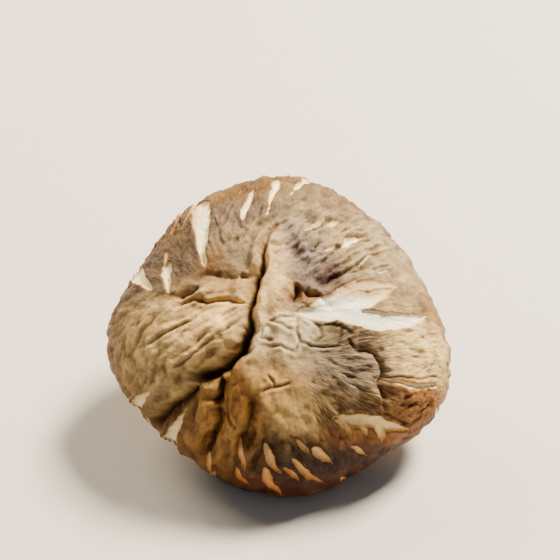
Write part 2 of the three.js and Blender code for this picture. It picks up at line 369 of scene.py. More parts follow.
@dataclass(frozen=True)
class Crack:
    """A place where the skin opened down to the flesh, by a share of the full depth."""

    route: Route
    width: float
    opening: Opening = Opening.SPINDLE
    depth_share: float = 1.0

    def at(self, x: Field, y: Field, tear: Field) -> tuple[Field, Field, Field, Field]:
        """Finds what the crack does at points of the flat skin.

        Args:
            x: Points to the right of the crown.
            y: Points up the slope.
            tear: How far a torn edge wanders at each point.

        Returns:
            How far off the torn edge each point is, below 0 inside the crack, how far the skin is open there,
            how deep the flesh is cut, and how far the edge of the skin lifts.
        """
        off, along, _ = nearest(self.route, x, y)
        half = self.width / 2 * self.opening.spread(along)
        gap = off + tear * np.minimum(1, CRACK_TEAR * self.width) - half + CRACK_NARROWING
        opened = (1 - ramp(gap, -CRACK_WALL, CRACK_WALL)) * ramp(half, *CRACK_MOUTH)
        inside = np.clip(-gap / np.maximum(half, CRACK_MOUTH[1]), 0, 1)
        bowl = CRACK_SHOULDER + (1 - CRACK_SHOULDER) * inside
        lift = hump(gap, CRACK_LIP, CRACK_LIP_WIDTH) * ramp(half, *CRACK_LIP_MOUTH)
        return gap, opened, opened * bowl * self.depth_share, lift * self.depth_share


@dataclass(frozen=True)
class Zone:
    """A patch with a colour of its own, and how far it is covered in loose fibres."""

    middle: Pair
    reach: Pair
    tone: Tone
    fibrous: float = 0.0

    def weight(self, x: Field, y: Field) -> Field:
        """How strongly the zone colours points of the flat skin."""
        return hump(x, self.middle[0], self.reach[0]) * hump(y, self.middle[1], self.reach[1])


# A fold deepens and ends over shares of its length. It is a round floor with a sharp nick in it, as shares of
# its depth, and its banks stand off it by shares of its width.
FOLD_START = 0.16
FOLD_END = 0.18
FOLD_FLOOR = 0.6
FOLD_NICK = 0.55
FOLD_NICK_WIDTH = 0.32
FOLD_BANK = 2.1
FOLD_BANK_WIDTH = 1.3
# How deep a furrow is before its painted shade starts, how much deeper when it is darkest, and how slowly it
# darkens.
FOLD_LIT = 0.4
FOLD_DARK = 1.5
FOLD_DARKENING = 1.5

# The great furrow in three stretches, then the branches on its left, the grooves of the near side and the
# furrows of the right.
FOLDS = (
    Fold(
        ((-1.3, 13.6), (-1.9, 10.4), (-2.1, 8.4), (-2.6, 6.0), (-3.5, 4.2), (-3.6, 1.2), (-3.7, -1.2)),
        1.7, 0.7, 1.0, 0.5,
    ),
    Fold(
        (
            (-2.5, 7.4), (-2.9, 5.6), (-3.5, 4.2), (-3.6, 1.2), (-3.7, -1.2), (-4.4, -3.6),
            (-5.4, -5.6), (-7.0, -7.0),
        ),
        2.2, 1.0, 1.1, 0.42,
    ),
    Fold(
        (
            (-3.7, -1.2), (-4.4, -3.6), (-5.4, -5.6), (-7.0, -7.0), (-8.3, -8.5), (-9.9, -9.6),
            (-12.4, -9.8), (-13.6, -11.0),
        ),
        2.8, 1.6, 1.0, 0.45,
    ),
    Fold(((-3.0, 5.8), (-4.6, 5.2), (-6.0, 5.4)), 0.9, 0.7, 0.2),
    Fold(((-3.2, 5.6), (-5.8, 5.0), (-8.0, 5.6), (-11.3, 6.3), (-13.4, 5.2)), 0.4, 0.55, 0.1, 1.4),
    Fold(((-3.2, 1.0), (-7.4, 1.7), (-10.4, 1.6), (-12.3, 2.8), (-15.2, 0.8)), 0.75, 0.36, 0.25, 0.8),
    Fold(((-12.0, 4.6), (-13.2, 4.0), (-14.6, 2.4)), 0.9, 0.6, 0.3),
    Fold(((-9.2, -9.6), (-9.5, -12.0), (-10.4, -14.0)), 2.0, 1.0, 0.4),
    Fold(((-12.6, -10.2), (-15.4, -13.0), (-18.2, -14.5), (-21.6, -16.9), (-25.0, -18.6)), 1.9, 1.3, 0.5),
    Fold(((-9.6, -13.2), (-10.0, -16.4), (-11.6, -19.6), (-14.0, -23.8)), 1.7, 1.1, 0.5),
    Fold(((-4.4, -11.5), (-4.3, -15.3), (-5.3, -18.2), (-7.6, -21.5)), 1.5, 0.9, 0.5),
    Fold(((-2.8, -14.6), (-1.9, -18.8), (-0.4, -23.0)), 0.8, 0.9, 0.3),
    Fold(((2.6, 4.6), (2.2, 3.2), (1.8, 1.2)), 1.3, 0.8, 0.4),
    Fold(((3.2, 3.6), (4.6, 2.6), (6.4, 3.0)), 0.8, 0.6, 0.3),
    Fold(((9.6, -4.4), (12.8, -5.2), (14.4, -7.4), (14.4, -9.4), (15.3, -13.0)), 0.9, 0.8, 0.35),
    Fold(((5.0, 4.2), (9.6, 6.9), (16.0, 8.8)), 0.7, 1.0, 0.3),
    Fold(((2.6, 8.6), (6.4, 12.4), (11.4, 17.4)), 0.6, 1.0, 0.3),
)

# The lobes that the folds part.
LUMPS = (
    Lump((-9.0, -2.6), (6.5, 3.4), 35, 1.3),
    Lump((-8.2, 3.6), (4.4, 1.3), 0, 0.7),
    Lump((-8.2, 10.6), (4.0, 3.4), 60, 0.6),
    Lump((-0.9, 1.5), (1.6, 6.0), 8, 1.2),
    Lump((-5.0, -11.0), (2.2, 3.4), -20, 1.0),
    Lump((12.5, -10.5), (5.0, 3.8), -30, 0.6),
    Lump((18.2, -11.5), (3.0, 3.6), 0, 0.8),
    Lump((-19.0, -3.0), (4.0, 6.0), 0, 0.7),
)

# The ridges of a patch: the size and height of finer ones on them, and how sharply they crest.
WRINKLE_FINER = 0.45
WRINKLE_SHIFT = 9
WRINKLE_BASE = 0.35
WRINKLE_SWING = 1.5
WRINKLE_CREST = 0.9
# The patches of the face, then those round the far rim and the sides.
WRINKLES = (
    Wrinkles((-10.5, -3.0), (6.5, 5.5), 34, 3.6, 0.9, 0.3),
    Wrinkles((-19.0, -5.0), (6.0, 8.0), 58, 3.6, 1.2, 0.28),
    Wrinkles((-9.0, -19.0), (8.0, 6.0), 66, 5.0, 1.3, 0.5),
    Wrinkles((6.0, 12.0), (8.0, 6.5), 38, 3.0, 0.8, 0.6),
    Wrinkles((12.5, 14.5), (6.5, 5.0), 34, 3.6, 0.75, 0.42),
    Wrinkles((-12.0, 15.0), (8.0, 5.0), 112, 3.6, 0.7, 0.26),
    Wrinkles((11.0, -9.0), (6.0, 5.0), -14, 3.0, 0.6, 0.2),
    Wrinkles((6.0, -20.0), (7.0, 4.5), -50, 3.0, 0.7, 0.26),
    Wrinkles((21.0, -4.0), (4.0, 4.0), 6, 3.4, 0.9, 0.36),
    Wrinkles((20.0, -13.0), (4.0, 4.0), 30, 2.0, 1.1, 0.4),
    Wrinkles((-5.5, 12.6), (4.5, 3.6), 70, 2.6, 1.2, 0.26),
    Wrinkles((-2.0, 33.0), (13.0, 6.5), 88, 5.0, 1.5, 0.42),
    Wrinkles((24.0, 23.0), (9.0, 8.0), 44, 5.0, 1.5, 0.34),
    Wrinkles((-24.0, 23.0), (8.0, 8.0), 136, 5.0, 1.5, 0.42),
    Wrinkles((32.0, -1.0), (5.0, 11.0), 0, 4.0, 1.4, 0.34),
    Wrinkles((-32.0, 3.0), (5.0, 11.0), 176, 4.0, 1.4, 0.36),
)

# Hair-thin creases: the edges of the crown's plates and of the right shoulder, then the lines between the
# wrinkles.
CREASES: tuple[Route, ...] = (
    ((2.0, -0.5), (2.2, -2.6), (2.9, -4.4), (4.6, -4.9), (6.5, -4.6), (7.9, -4.5), (8.4, -2.2), (8.8, -1.0)),
    ((3.0, -0.3), (4.5, -1.0), (5.4, -2.0), (5.7, -3.2), (5.0, -4.6)),
    ((5.4, -1.8), (7.0, -1.4), (8.4, -1.8), (10.0, -2.8)),
    ((1.9, -2.4), (-0.1, -1.9), (-1.4, -1.4), (0.2, -0.9), (1.9, -0.5)),
    ((-2.6, -2.3), (-2.9, -3.8), (-0.8, -4.2)),
    ((-1.4, -5.1), (0.2, -4.8), (2.2, -5.7), (2.9, -4.4)),
    ((-2.7, -11.9), (-1.7, -11.1), (-0.5, -10.9), (1.5, -10.3)),
    ((-2.0, -9.2), (-1.3, -10.2), (-0.9, -11.0)),
    ((8.4, -2.4), (10.4, -5.0), (12.8, -5.2), (14.4, -7.0), (14.3, -9.1), (14.9, -12.1), (15.8, -13.9)),
    ((15.8, -13.9), (18.0, -14.9), (20.5, -15.7)),
    ((14.7, -8.5), (18.2, -8.2), (24.6, -7.8)),
    ((5.5, 8.9), (8.1, 10.6), (11.5, 11.9)),
    ((7.2, 5.5), (10.0, 6.9), (13.3, 9.5), (15.4, 11.4)),
    ((3.2, 11.7), (5.1, 13.6), (7.4, 16.3)),
    ((8.1, 3.6), (11.1, 5.6), (13.8, 6.9)),
    ((0.5, 10.4), (2.2, 11.5), (3.5, 13.9)),
    ((14.8, 7.9), (18.7, 10.1)),
    ((-19.0, -3.7), (-14.5, -1.7), (-11.5, -0.5)),
    ((-12.9, -6.0), (-9.3, -3.8), (-4.8, -0.9)),
    ((-15.7, -7.5), (-11.9, -5.7), (-8.4, -3.5)),
    ((-9.4, 12.9), (-8.1, 17.0), (-7.4, 20.8)),
    ((-3.3, 15.5), (-2.8, 18.6)),
    ((-6.6, -17.7), (-8.1, -15.3), (-7.9, -11.8)),
    ((-13.2, -22.8), (-10.6, -18.8), (-9.3, -16.4)),
)
CREASE_WIDTH = 0.17
CREASE_DEPTH = 0.24
CREASE_ENDS = (-0.02, 0.12)
CREASE_BANK = 0.14
CREASE_BANK_PLACE = 3 * CREASE_WIDTH
CREASE_BANK_WIDTH = 1.6 * CREASE_WIDTH

WEDGE = Opening.WEDGE
CRACKS = (
    # The great crack right of the crown: its two arms, then the ledge of flesh along its upper edge.
    Crack(((2.1, 0.1), (5.6, 0.2), (8.5, 0.5), (12.5, -0.4), (15.5, -0.6), (19.5, 0.0), (24.4, 1.4)), 2.9),
    Crack(((6.4, 0.7), (10.5, 1.9), (14.0, 3.2), (18.8, 5.6)), 2.9),
    Crack(((4.4, 1.0), (8.6, 2.5), (11.6, 4.3), (14.6, 5.3), (19.8, 5.9)), 2.3, depth_share=0.5),
    # Wedges and splits of the far and left rim.
    Crack(((-11.4, 7.2), (-12.1, 10.9), (-12.4, 14.0), (-13.0, 17.8), (-13.9, 22.4)), 4.3, WEDGE),
    Crack(((-20.0, 4.8), (-22.3, 7.0), (-27.6, 12.0)), 3.8, WEDGE),
    Crack(((-16.6, 3.7), (-17.8, 6.7), (-18.9, 10.2)), 2.3, WEDGE),
    Crack(((-17.0, 16.7), (-15.4, 20.6), (-15.2, 24.0)), 1.3, WEDGE, 0.3),
    Crack(((-19.8, 15.0), (-18.6, 20.0), (-18.8, 24.0)), 1.6, WEDGE, 0.3),
    Crack(((-19.0, 9.6), (-19.4, 13.2)), 0.8, depth_share=0.3),
    Crack(((-6.1, 15.6), (-5.3, 19.1), (-4.4, 22.6)), 1.2),
    Crack(((-1.9, 16.4), (-1.4, 19.8), (-0.3, 25.6)), 1.7, WEDGE),
    Crack(((1.4, 20.3), (3.1, 23.6), (5.8, 29.2)), 1.8, WEDGE),
    Crack(((9.9, 11.6), (11.6, 13.2), (13.6, 14.2)), 1.4),
    Crack(((7.2, 14.7), (9.7, 16.8)), 0.7, depth_share=0.6),
    Crack(((3.6, 12.7), (7.2, 16.2)), 0.4, depth_share=0.4),
    Crack(((6.7, 10.0), (8.9, 11.3)), 0.4, depth_share=0.4),
    Crack(((12.9, 8.7), (15.0, 10.9)), 0.4, depth_share=0.4),
    Crack(((15.6, 7.6), (18.3, 8.6)), 0.4, depth_share=0.4),
    # Wedges of the near left.
    Crack(((-21.0, -11.0), (-24.6, -12.8), (-29.4, -16.6)), 4.6, WEDGE, 1.6),
    Crack(((-15.6, -14.4), (-17.3, -17.0), (-19.3, -19.3), (-23.0, -24.8)), 4.4, WEDGE, 1.6),
    # Leaf-shaped splits of the front.
    Crack(((-6.6, -19.8), (-6.5, -22.1), (-5.9, -25.0)), 1.1),
    Crack(((-7.5, -24.2), (-7.0, -26.3), (-5.6, -28.6)), 1.1),
    Crack(((-2.4, -19.6), (-1.2, -22.9), (0.4, -25.2)), 1.2),
    Crack(((-2.5, -23.8), (-2.1, -26.7), (0.3, -30.0)), 1.5),
    Crack(((2.5, -18.7), (4.7, -21.1)), 0.9),
    Crack(((5.0, -20.1), (8.6, -23.2)), 1.7),
    Crack(((1.9, -21.9), (4.6, -25.0), (8.2, -27.7)), 1.2),
    Crack(((0.6, -23.6), (3.0, -26.1)), 0.9),
    Crack(((-12.4, -22.6), (-13.6, -27.4)), 1.0, depth_share=0.6),
    # The flap of the right front, with two teeth, and the slit above it.
    Crack(((8.2, -15.5), (11.5, -16.2), (14.4, -15.9), (17.6, -16.6), (22.0, -17.4)), 2.3),
    Crack(((11.6, -19.4), (9.4, -15.2)), 2.0, WEDGE),
    Crack(((14.4, -18.8), (12.4, -15.4)), 1.6, WEDGE),
    Crack(((17.8, -20.4), (15.2, -15.4)), 2.5, WEDGE),
    Crack(((15.2, -9.0), (18.3, -9.3), (24.4, -9.4)), 1.0),
    Crack(((11.6, -20.4), (15.6, -22.6)), 0.8, depth_share=0.6),
)
# How a crack widens along its route: a spindle's bluntness, and the shares of the length where a wedge ends.
CRACK_WIDENING = 0.8
CRACK_BLUNTNESS = 0.7
CRACK_END = (0.9, 1.05)
# Across a crack: its cut with a steep wall and a raised shoulder, which need a half width to begin.
CRACK_DEPTH = 0.6
CRACK_WALL = 0.2
CRACK_SHOULDER = 0.6
CRACK_MOUTH = (0.05, 0.2)
CRACK_TEAR = 0.8
CRACK_NARROWING = 0.08
# The lip of skin that curls up beside a crack.
CRACK_LIFT = 0.14
CRACK_LIP = 0.4
CRACK_LIP_WIDTH = 0.35
CRACK_LIP_MOUTH = (0.1, 0.5)
# How far off a crack its distance is still kept.
CRACK_REACH = 1.5

SKIN_ZONES = (
    # The crown and the ridge right of the great furrow.
    Zone((-1.0, 3.6), (2.0, 7.0), (226, 196, 138)),
    Zone((0.8, -3.6), (3.8, 3.2), (232, 216, 180)),
    Zone((0.0, -9.4), (3.0, 3.2), (198, 160, 98)),
    Zone((2.0, 2.5), (1.4, 1.8), (112, 66, 38)),
    Zone((4.0, 2.1), (1.3, 0.9), (164, 112, 58)),
    Zone((3.4, 10.4), (3.2, 4.4), (124, 116, 112)),
    Zone((8.6, 6.6), (3.2, 2.0), (84, 62, 60)),
    # The left lobe and the far left.
    Zone((-10.5, -1.6), (5.5, 4.0), (230, 196, 134)),
    Zone((-18.0, -5.0), (6.0, 6.5), (188, 162, 108)),
    Zone((-18.6, 9.0), (6.0, 4.6), (76, 62, 52), 0.35),
    Zone((-8.5, 17.6), (6.5, 2.6), (84, 70, 64), 0.4),
    Zone((-8.4, 24.4), (7.0, 3.0), (108, 78, 36), 0.35),
    Zone((-19.0, 17.6), (4.5, 4.5), (96, 72, 42), 0.35),
    Zone((-6.2, 11.2), (3.8, 3.8), (132, 116, 86)),
    Zone((-10.2, 8.6), (1.4, 2.0), (136, 98, 48)),
    # The far right, pale and dusty.
    Zone((7.0, 18.0), (6.0, 5.0), (130, 114, 88), 0.3),
    Zone((17.0, 12.0), (7.0, 6.0), (170, 154, 120), 0.25),
    # The fibrous right and front.
    Zone((10.4, -2.4), (3.6, 1.7), (62, 44, 40), 1.0),
    Zone((9.4, -8.0), (4.6, 2.6), (122, 108, 100), 1.0),
    Zone((9.0, -12.8), (5.5, 2.6), (112, 82, 44), 1.0),
    Zone((21.5, -4.4), (5.0, 3.4), (240, 212, 150), 0.6),
    Zone((19.8, -12.4), (3.8, 3.8), (142, 86, 24), 0.3),
    Zone((1.6, -14.6), (2.8, 3.6), (220, 184, 116), 0.25),
    # These four are partly the skin's own brown: the front and bottom are darkened further as painted shade,
    # and the band under the flap is painted a warm orange as bounced light.
    Zone((4.0, -21.8), (8.6, 3.8), (30, 9, 1), 0.25),
    Zone((5.0, -28.6), (13.0, 5.0), (72, 24, 0), 0.1),
    Zone((16.0, -18.8), (6.5, 1.5), (168, 104, 18), 0.25),
    Zone((18.5, -24.4), (6.0, 4.4), (62, 18, 0), 0.15),
    # The puckered near left.
    Zone((-8.0, -16.0), (5.0, 6.0), (168, 120, 54), 0.1),
    Zone((-15.5, -22.0), (6.5, 6.0), (130, 88, 34), 0.1),
    # The far side and the flanks of the rolled rim.
    Zone((-8.0, 33.0), (9.0, 5.0), (88, 58, 32), 0.35),
    Zone((6.0, 35.0), (6.0, 6.0), (128, 88, 46), 0.3),
    Zone((18.0, 29.0), (8.0, 6.0), (112, 84, 56), 0.3),
    Zone((33.0, 6.0), (5.0, 10.0), (146, 112, 68), 0.25),
    Zone((-31.0, 12.0), (5.0, 9.0), (98, 66, 34), 0.25),
    Zone((-30.0, -8.0), (4.5, 7.0), (134, 92, 42), 0.2),
)
SKIN_TONE = (112, 78, 42)

# The flesh is white in the great crack, tan on its ledge, and cream to brown in the splits of the rim.
FLESH_ZONES = (
    Zone((13.0, -0.4), (11.0, 2.2), (255, 252, 240)),
    Zone((12.6, 4.9), (6.0, 1.5), (206, 174, 130)),
    Zone((1.0, -20.6), (10.0, 3.0), (240, 202, 142)),
    Zone((0.0, -28.4), (13.0, 5.0), (210, 146, 70)),
    Zone((-18.6, 17.6), (2.6, 4.6), (158, 116, 54)),
    Zone((15.0, -16.6), (6.6, 2.8), (255, 222, 160)),
)
FLESH_TONE = (255, 246, 208)
BACKGROUND_WEIGHT = 0.06
BACKGROUND_FIBRES = 0.35


@dataclass(frozen=True)
class Pose:
    """How the cap's own frame leans and stands over the surface that the mushroom lies on."""

    middle: Triple = (0.22, -0.88, 17.6)
    lean: float = math.radians(35)

    def placed(self, u: Field, v: Field, w: Field) -> Field:
        """Leans points of the cap's frame, and presses up any that lie below the surface.

        Args:
            u: To the right.
            v: Up the slope.
            w: Out of the crown.

        Returns:
            Rows of x, y and z in metres.
        """
        cos = math.cos(self.lean)
        sin = math.sin(self.lean)
        x = u + self.middle[0]
        y = v * cos - w * sin + self.middle[1]
        z = np.maximum(v * sin + w * cos + self.middle[2], 0)
        return np.column_stack((x, y, z)) * MM


class Section:
    """The half section of the skin, read by length from the crown."""

    SAMPLES = 600

    def __init__(self, points: Sequence[Pair]) -> None:
        """Measures the curve through the points.

        Args:
            points: Radius and height of each point, from the crown to the inner lip.
        """
        self.curve = spline(points, np.linspace(0, 1, self.SAMPLES))
        steps = np.diff(self.curve, axis=0)
        self.lengths = np.concatenate(([0], np.cumsum(np.hypot(steps[:, 0], steps[:, 1]))))
        self.total = float(self.lengths[-1])
        self.slopes = np.gradient(self.curve, self.lengths, axis=0)

    def read(self, length: Field) -> tuple[Field, Field, Field, Field]:
        """Reads the section at lengths from the crown.

        Args:
            length: Distances along the skin.

        Returns:
            Radius, height, and the two parts of the direction in which the skin runs.
        """
        columns = (self.curve[:, 0], self.curve[:, 1], self.slopes[:, 0], self.slopes[:, 1])
        radius, height, run, climb = (np.interp(length, self.lengths, column) for column in columns)
        return radius, height, run, climb


def coordinates(mesh: bpy.types.Mesh) -> Field:
    """Reads the places of a mesh's vertices.

    Args:
        mesh: The mesh.

    Returns:
        One row of x, y and z for each vertex.
    """
    flat = np.empty(len(mesh.vertices) * 3)
    mesh.vertices.foreach_get("co", flat)
    return flat.reshape(-1, 3)


def paint(mesh: bpy.types.Mesh, name: str, values: Field) -> None:
    """Keeps a value for each vertex, for the mesh's material to read.

    Args:
        mesh: The mesh.
        name: Name of the attribute.
        values: One number a vertex, or a row of three or of four.
    """
    kinds = {1: ("FLOAT", "value"), 3: ("FLOAT_VECTOR", "vector"), 4: ("FLOAT_COLOR", "color")}
    width = 1 if values.ndim == 1 else values.shape[1]
    kind, key = kinds[width]
    mesh.attributes.new(name, kind, "POINT").data.foreach_set(key, values.astype(np.float32).ravel())


def new_mesh(name: str, bm: bmesh.types.BMesh) -> bpy.types.Mesh:
    """Turns a bmesh into a mesh and frees it.

    Args:
        name: Name of the mesh.
        bm: The bmesh.

    Returns:
        The mesh.
    """
    mesh = bpy.data.meshes.new(name)
    bm.to_mesh(mesh)
    bm.free()
    return mesh


def move(mesh: bpy.types.Mesh, places: Field) -> None:
    """Puts every vertex of a mesh in a new place and turns its faces outwards.

    Args:
        mesh: The mesh.
        places: One row of x, y and z for each vertex.
    """
    mesh.vertices.foreach_set("co", places.ravel())
    bm = bmesh.new()
    bm.from_mesh(mesh)
    bmesh.ops.recalc_face_normals(bm, faces=bm.faces)
    for face in bm.faces:
        face.smooth = True
    bm.to_mesh(mesh)
    bm.free()
    mesh.update()


def place_piece(name: str, mesh: bpy.types.Mesh, material: bpy.types.Material) -> bpy.types.Object:
    """Adds a finished mesh to the scene in the place of the solid of the same name.

    Args:
        name: Name of the piece and of the solid.
        mesh: Its mesh, in the frame of the solids.
        material: What it is made of.

    Returns:
        The object.
    """
    mesh.materials.append(material)
    piece = bpy.data.objects.new(f"{name}_surface", mesh)
    bpy.context.scene.collection.objects.link(piece)
    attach(piece, "root")
    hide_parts(name)
    triangles = sum(len(polygon.vertices) - 2 for polygon in mesh.polygons)
    LOG.info("%s: %d triangles", piece.name, triangles)
    return piece


def unit_grid(columns: int, rows: int, name: str) -> tuple[bpy.types.Mesh, Field, Field]:
    """Makes a flat grid, to be rolled into a closed piece.

    Args:
        columns: Number of faces across.
        rows: Number of faces up.
        name: Name of the mesh.

    Returns:
        The mesh, and the column and the row of each vertex.
    """
    bm = bmesh.new()
    bmesh.ops.create_grid(bm, x_segments=columns, y_segments=rows, size=1)
    mesh = new_mesh(name, bm)
    grid = coordinates(mesh)
    column = np.rint((grid[:, 0] + 1) / 2 * columns).astype(int)
    row = np.rint((grid[:, 1] + 1) / 2 * rows).astype(int)
    return mesh, column, row


def close_grid(mesh: bpy.types.Mesh, places: Field) -> Field:
    """Rolls a grid up and merges the vertices that meet.

    Args:
        mesh: The grid.
        places: One row of u, v and w for each vertex.

    Returns:
        The places that are left.
    """
    mesh.vertices.foreach_set("co", places.ravel())
    bm = bmesh.new()
    bm.from_mesh(mesh)
    bmesh.ops.remove_doubles(bm, verts=bm.verts, dist=MERGE_REACH)
    bm.to_mesh(mesh)
    bm.free()
    return coordinates(mesh)


@dataclass(frozen=True)
class Span:
    """A stretch of values, and the stretch that it becomes."""

    low: float
    high: float
    to_low: float = 0.0
    to_high: float = 1.0


class NodeTree:
    """Adds and joins the nodes of one material or node group."""

    def __init__(self, tree: bpy.types.NodeTree) -> None:
        """Takes the tree to fill."""
        self.tree = tree

    def add(self, kind: str, inputs: dict | None = None, **settings: object) -> Node:
        """Adds a node.

        Args:
            kind: The node's type.
            inputs: A value or an output socket for each named or numbered input.
            settings: The node's own properties.

        Returns:
            The node.
        """
        node = self.tree.nodes.new(kind)
        for key, value in settings.items():
            setattr(node, key, value)
        for key, value in (inputs or {}).items():
            if isinstance(value, Socket):
                self.tree.links.new(value, node.inputs[key])
            else:
                node.inputs[key].default_value = value
        return node

    def join(self, value: Socket, node: Node, name: str) -> None:
        """Leads a value into a named input of a node."""
        self.tree.links.new(value, node.inputs[name])

    def math(
        self, operation: str, first: Socket | float, second: Socket | float, clamp: bool = False
    ) -> Socket:
        """Joins two numbers by arithmetic.

        Args:
            operation: Name of the operation.
            first: A number or a socket.
            second: A number or a socket.
            clamp: Whether the result stays from 0 to 1.

        Returns:
            The result's socket.
        """
        node = self.add("ShaderNodeMath", {0: first, 1: second}, operation=operation, use_clamp=clamp)
        return node.outputs[0]

    def times(self, first: Socket | float, second: Socket | float) -> Socket:
        """Multiplies two numbers."""
        return self.math("MULTIPLY", first, second)

    def plus(self, first: Socket | float, second: Socket | float) -> Socket:
        """Adds two numbers."""
        return self.math("ADD", first, second)

    def mix(
        self, share: Socket | float, first: Socket | Colour, second: Socket | Colour, blend: str = "MIX"
    ) -> Socket:
        """Mixes two colours.

        Args:
            share: How much of the second colour there is.
            first: The first colour.
            second: The second colour.
            blend: Name of the blend.

        Returns:
            The mixed colour's socket.
        """
        inputs = {0: share, 6: first, 7: second}
        return self.add("ShaderNodeMix", inputs, data_type="RGBA", blend_type=blend).outputs[2]

    def tinted(self, colour: Socket, tint: Colour) -> Socket:
        """Multiplies a colour by a tint."""
        return self.mix(1.0, colour, tint, "MULTIPLY")

    def stretch(self, value: Socket, span: Span) -> Socket:
        """Turns a stretch of values smoothly into another one, and holds it past both ends."""
        inputs = {0: value, 1: span.low, 2: span.high, 3: span.to_low, 4: span.to_high}
        return self.add("ShaderNodeMapRange", inputs, interpolation_type="SMOOTHSTEP").outputs[0]

    def texture(self, vector: Socket, scale: Socket | float, detail: float, roughness: float = 0.5) -> Node:
        """Adds a cloudy noise texture.

        Args:
            vector: Where it is read.
            scale: Clouds to a unit.
            detail: How many finer clouds lie over them.
            roughness: How strong the finer clouds are.

        Returns:
            The node, with a value and a colour.
        """
        inputs = {"Vector": vector, "Scale": scale, "Detail": detail, "Roughness": roughness}
        return self.add("ShaderNodeTexNoise", inputs)

    def attribute(self, name: str, output: str = "Fac") -> Socket:
        """Reads a value that was painted on the mesh."""
        return self.add("ShaderNodeAttribute", attribute_name=name).outputs[output]

    def group(self, shared: bpy.types.NodeTree, inputs: dict) -> Node:
        """Places a shared effect with its own values."""
        return self.add("ShaderNodeGroup", inputs, node_tree=shared)


def new_group(name: str, values: dict[str, float], results: Sequence[str]) -> tuple[NodeTree, Node, Node]:
    """Makes an empty shader node group that reads a vector and some values.

    Args:
        name: Name of the group.
        values: Default of each value that it reads.
        results: Name of each value that it puts out.

    Returns:
        The group's tree, its input node and its output node.
    """
    tree = bpy.data.node_groups.new(name, "ShaderNodeTree")
    tree.interface.new_socket(name="Vector", in_out="INPUT", socket_type="NodeSocketVector")
    for label, default in values.items():
        socket = tree.interface.new_socket(name=label, in_out="INPUT", socket_type="NodeSocketFloat")
        socket.default_value = default
    for label in results:
        tree.interface.new_socket(name=label, in_out="OUTPUT", socket_type="NodeSocketFloat")
    nodes = NodeTree(tree)
    return nodes, nodes.add("NodeGroupInput"), nodes.add("NodeGroupOutput")


@dataclass(frozen=True)
class SharedEffects:
    """Effects that more than one finish of the mushroom uses."""

    mottle: bpy.types.NodeTree
    fibres: bpy.types.NodeTree
    dry_relief: bpy.types.NodeTree

    @classmethod
    def make(cls) -> SharedEffects:
        """Builds each shared group once."""
        return cls(cls.make_mottle(), cls.make_fibres(), cls.make_dry_relief())

    @staticmethod
    def make_mottle() -> bpy.types.NodeTree:
        """Cloudy light and dark patches of two sizes.

        Returns:
            The node group.
        """
        finer = 4.3
        broad_share = 0.65
        steepness = 3.0
        nodes, source, result = new_group("Dried mottle", {"Scale": 300.0, "Contrast": 1.0}, ("Mask",))
        vector = source.outputs["Vector"]
        scale = source.outputs["Scale"]
        broad = nodes.texture(vector, scale, 5.0, 0.6).outputs[0]
        fine = nodes.texture(vector, nodes.times(scale, finer), 3.0, 0.55).outputs[0]
        both = nodes.plus(nodes.times(broad, broad_share), nodes.times(fine, 1 - broad_share))
        swing = nodes.times(nodes.math("SUBTRACT", both, 0.5), source.outputs["Contrast"])
        mask = nodes.math("ADD", nodes.times(swing, steepness), 0.5, clamp=True)
        nodes.join(mask, result, "Mask")
        return nodes.tree

    @staticmethod
    def make_fibres() -> bpy.types.NodeTree:
        """Fine streaks, which run the way in which their vector changes least.

        Returns:
            The node group.
        """
        bend = 0.5
        bare_edge = 0.72
        cover_reach = 0.4
        steepness = 7.0
        nodes, source, result = new_group("Dry fibres", {"Scale": 1.0, "Cover": 0.5}, ("Streak", "Height"))
        vector = source.outputs["Vector"]
        bent = nodes.texture(vector, bend, 2.0).outputs[1]
        shift = nodes.add("ShaderNodeVectorMath", {0: bent, 1: (0.5, 0.5, 0.5)}, operation="SUBTRACT")
        swung = nodes.add("ShaderNodeVectorMath", {0: shift.outputs[0], 1: vector}, operation="ADD")
        strand = nodes.texture(swung.outputs[0], source.outputs["Scale"], 6.0, 0.68).outputs[0]
        edge = nodes.math("SUBTRACT", bare_edge, nodes.times(source.outputs["Cover"], cover_reach))
        over = nodes.math("SUBTRACT", strand, edge)
        nodes.join(nodes.math("MULTIPLY", over, steepness, clamp=True), result, "Streak")
        nodes.join(strand, result, "Height")
        return nodes.tree

    @staticmethod
    def make_dry_relief() -> bpy.types.NodeTree:
        """The fine puckered relief of dried tissue, on top of a height of the finish's own.

        Returns:
            The node group.
        """
        pore_share = 0.5
        values = {"Scale": 1500.0, "Pucker": 0.5, "Height": 0.0}
        nodes, source, result = new_group("Dry relief", values, ("Height",))
        vector = source.outputs["Vector"]
        scale = source.outputs["Scale"]
        inputs = {"Vector": vector, "Scale": scale, "Detail": 1.0}
        pores = nodes.add("ShaderNodeTexVoronoi", inputs, feature="SMOOTH_F1").outputs[0]
        tissue = nodes.texture(vector, scale, 4.0, 0.6).outputs[0]
        puckered = nodes.plus(nodes.times(pores, pore_share), tissue)
        scaled = nodes.times(puckered, source.outputs["Pucker"])
        nodes.join(nodes.plus(scaled, source.outputs["Height"]), result, "Height")
        return nodes.tree


@dataclass(frozen=True)
class Patches:
    """Cloudy patches of a finish: how many there are to a unit, and how strong they are."""

    scale: float
    contrast: float = 1.0

    def add(self, nodes: NodeTree, shared: SharedEffects, place: Socket) -> Socket:
        """Places the patches in a material and returns their mask."""
        inputs = {"Vector": place, "Scale": self.scale, "Contrast": self.contrast}
        return nodes.group(shared.mottle, inputs).outputs["Mask"]


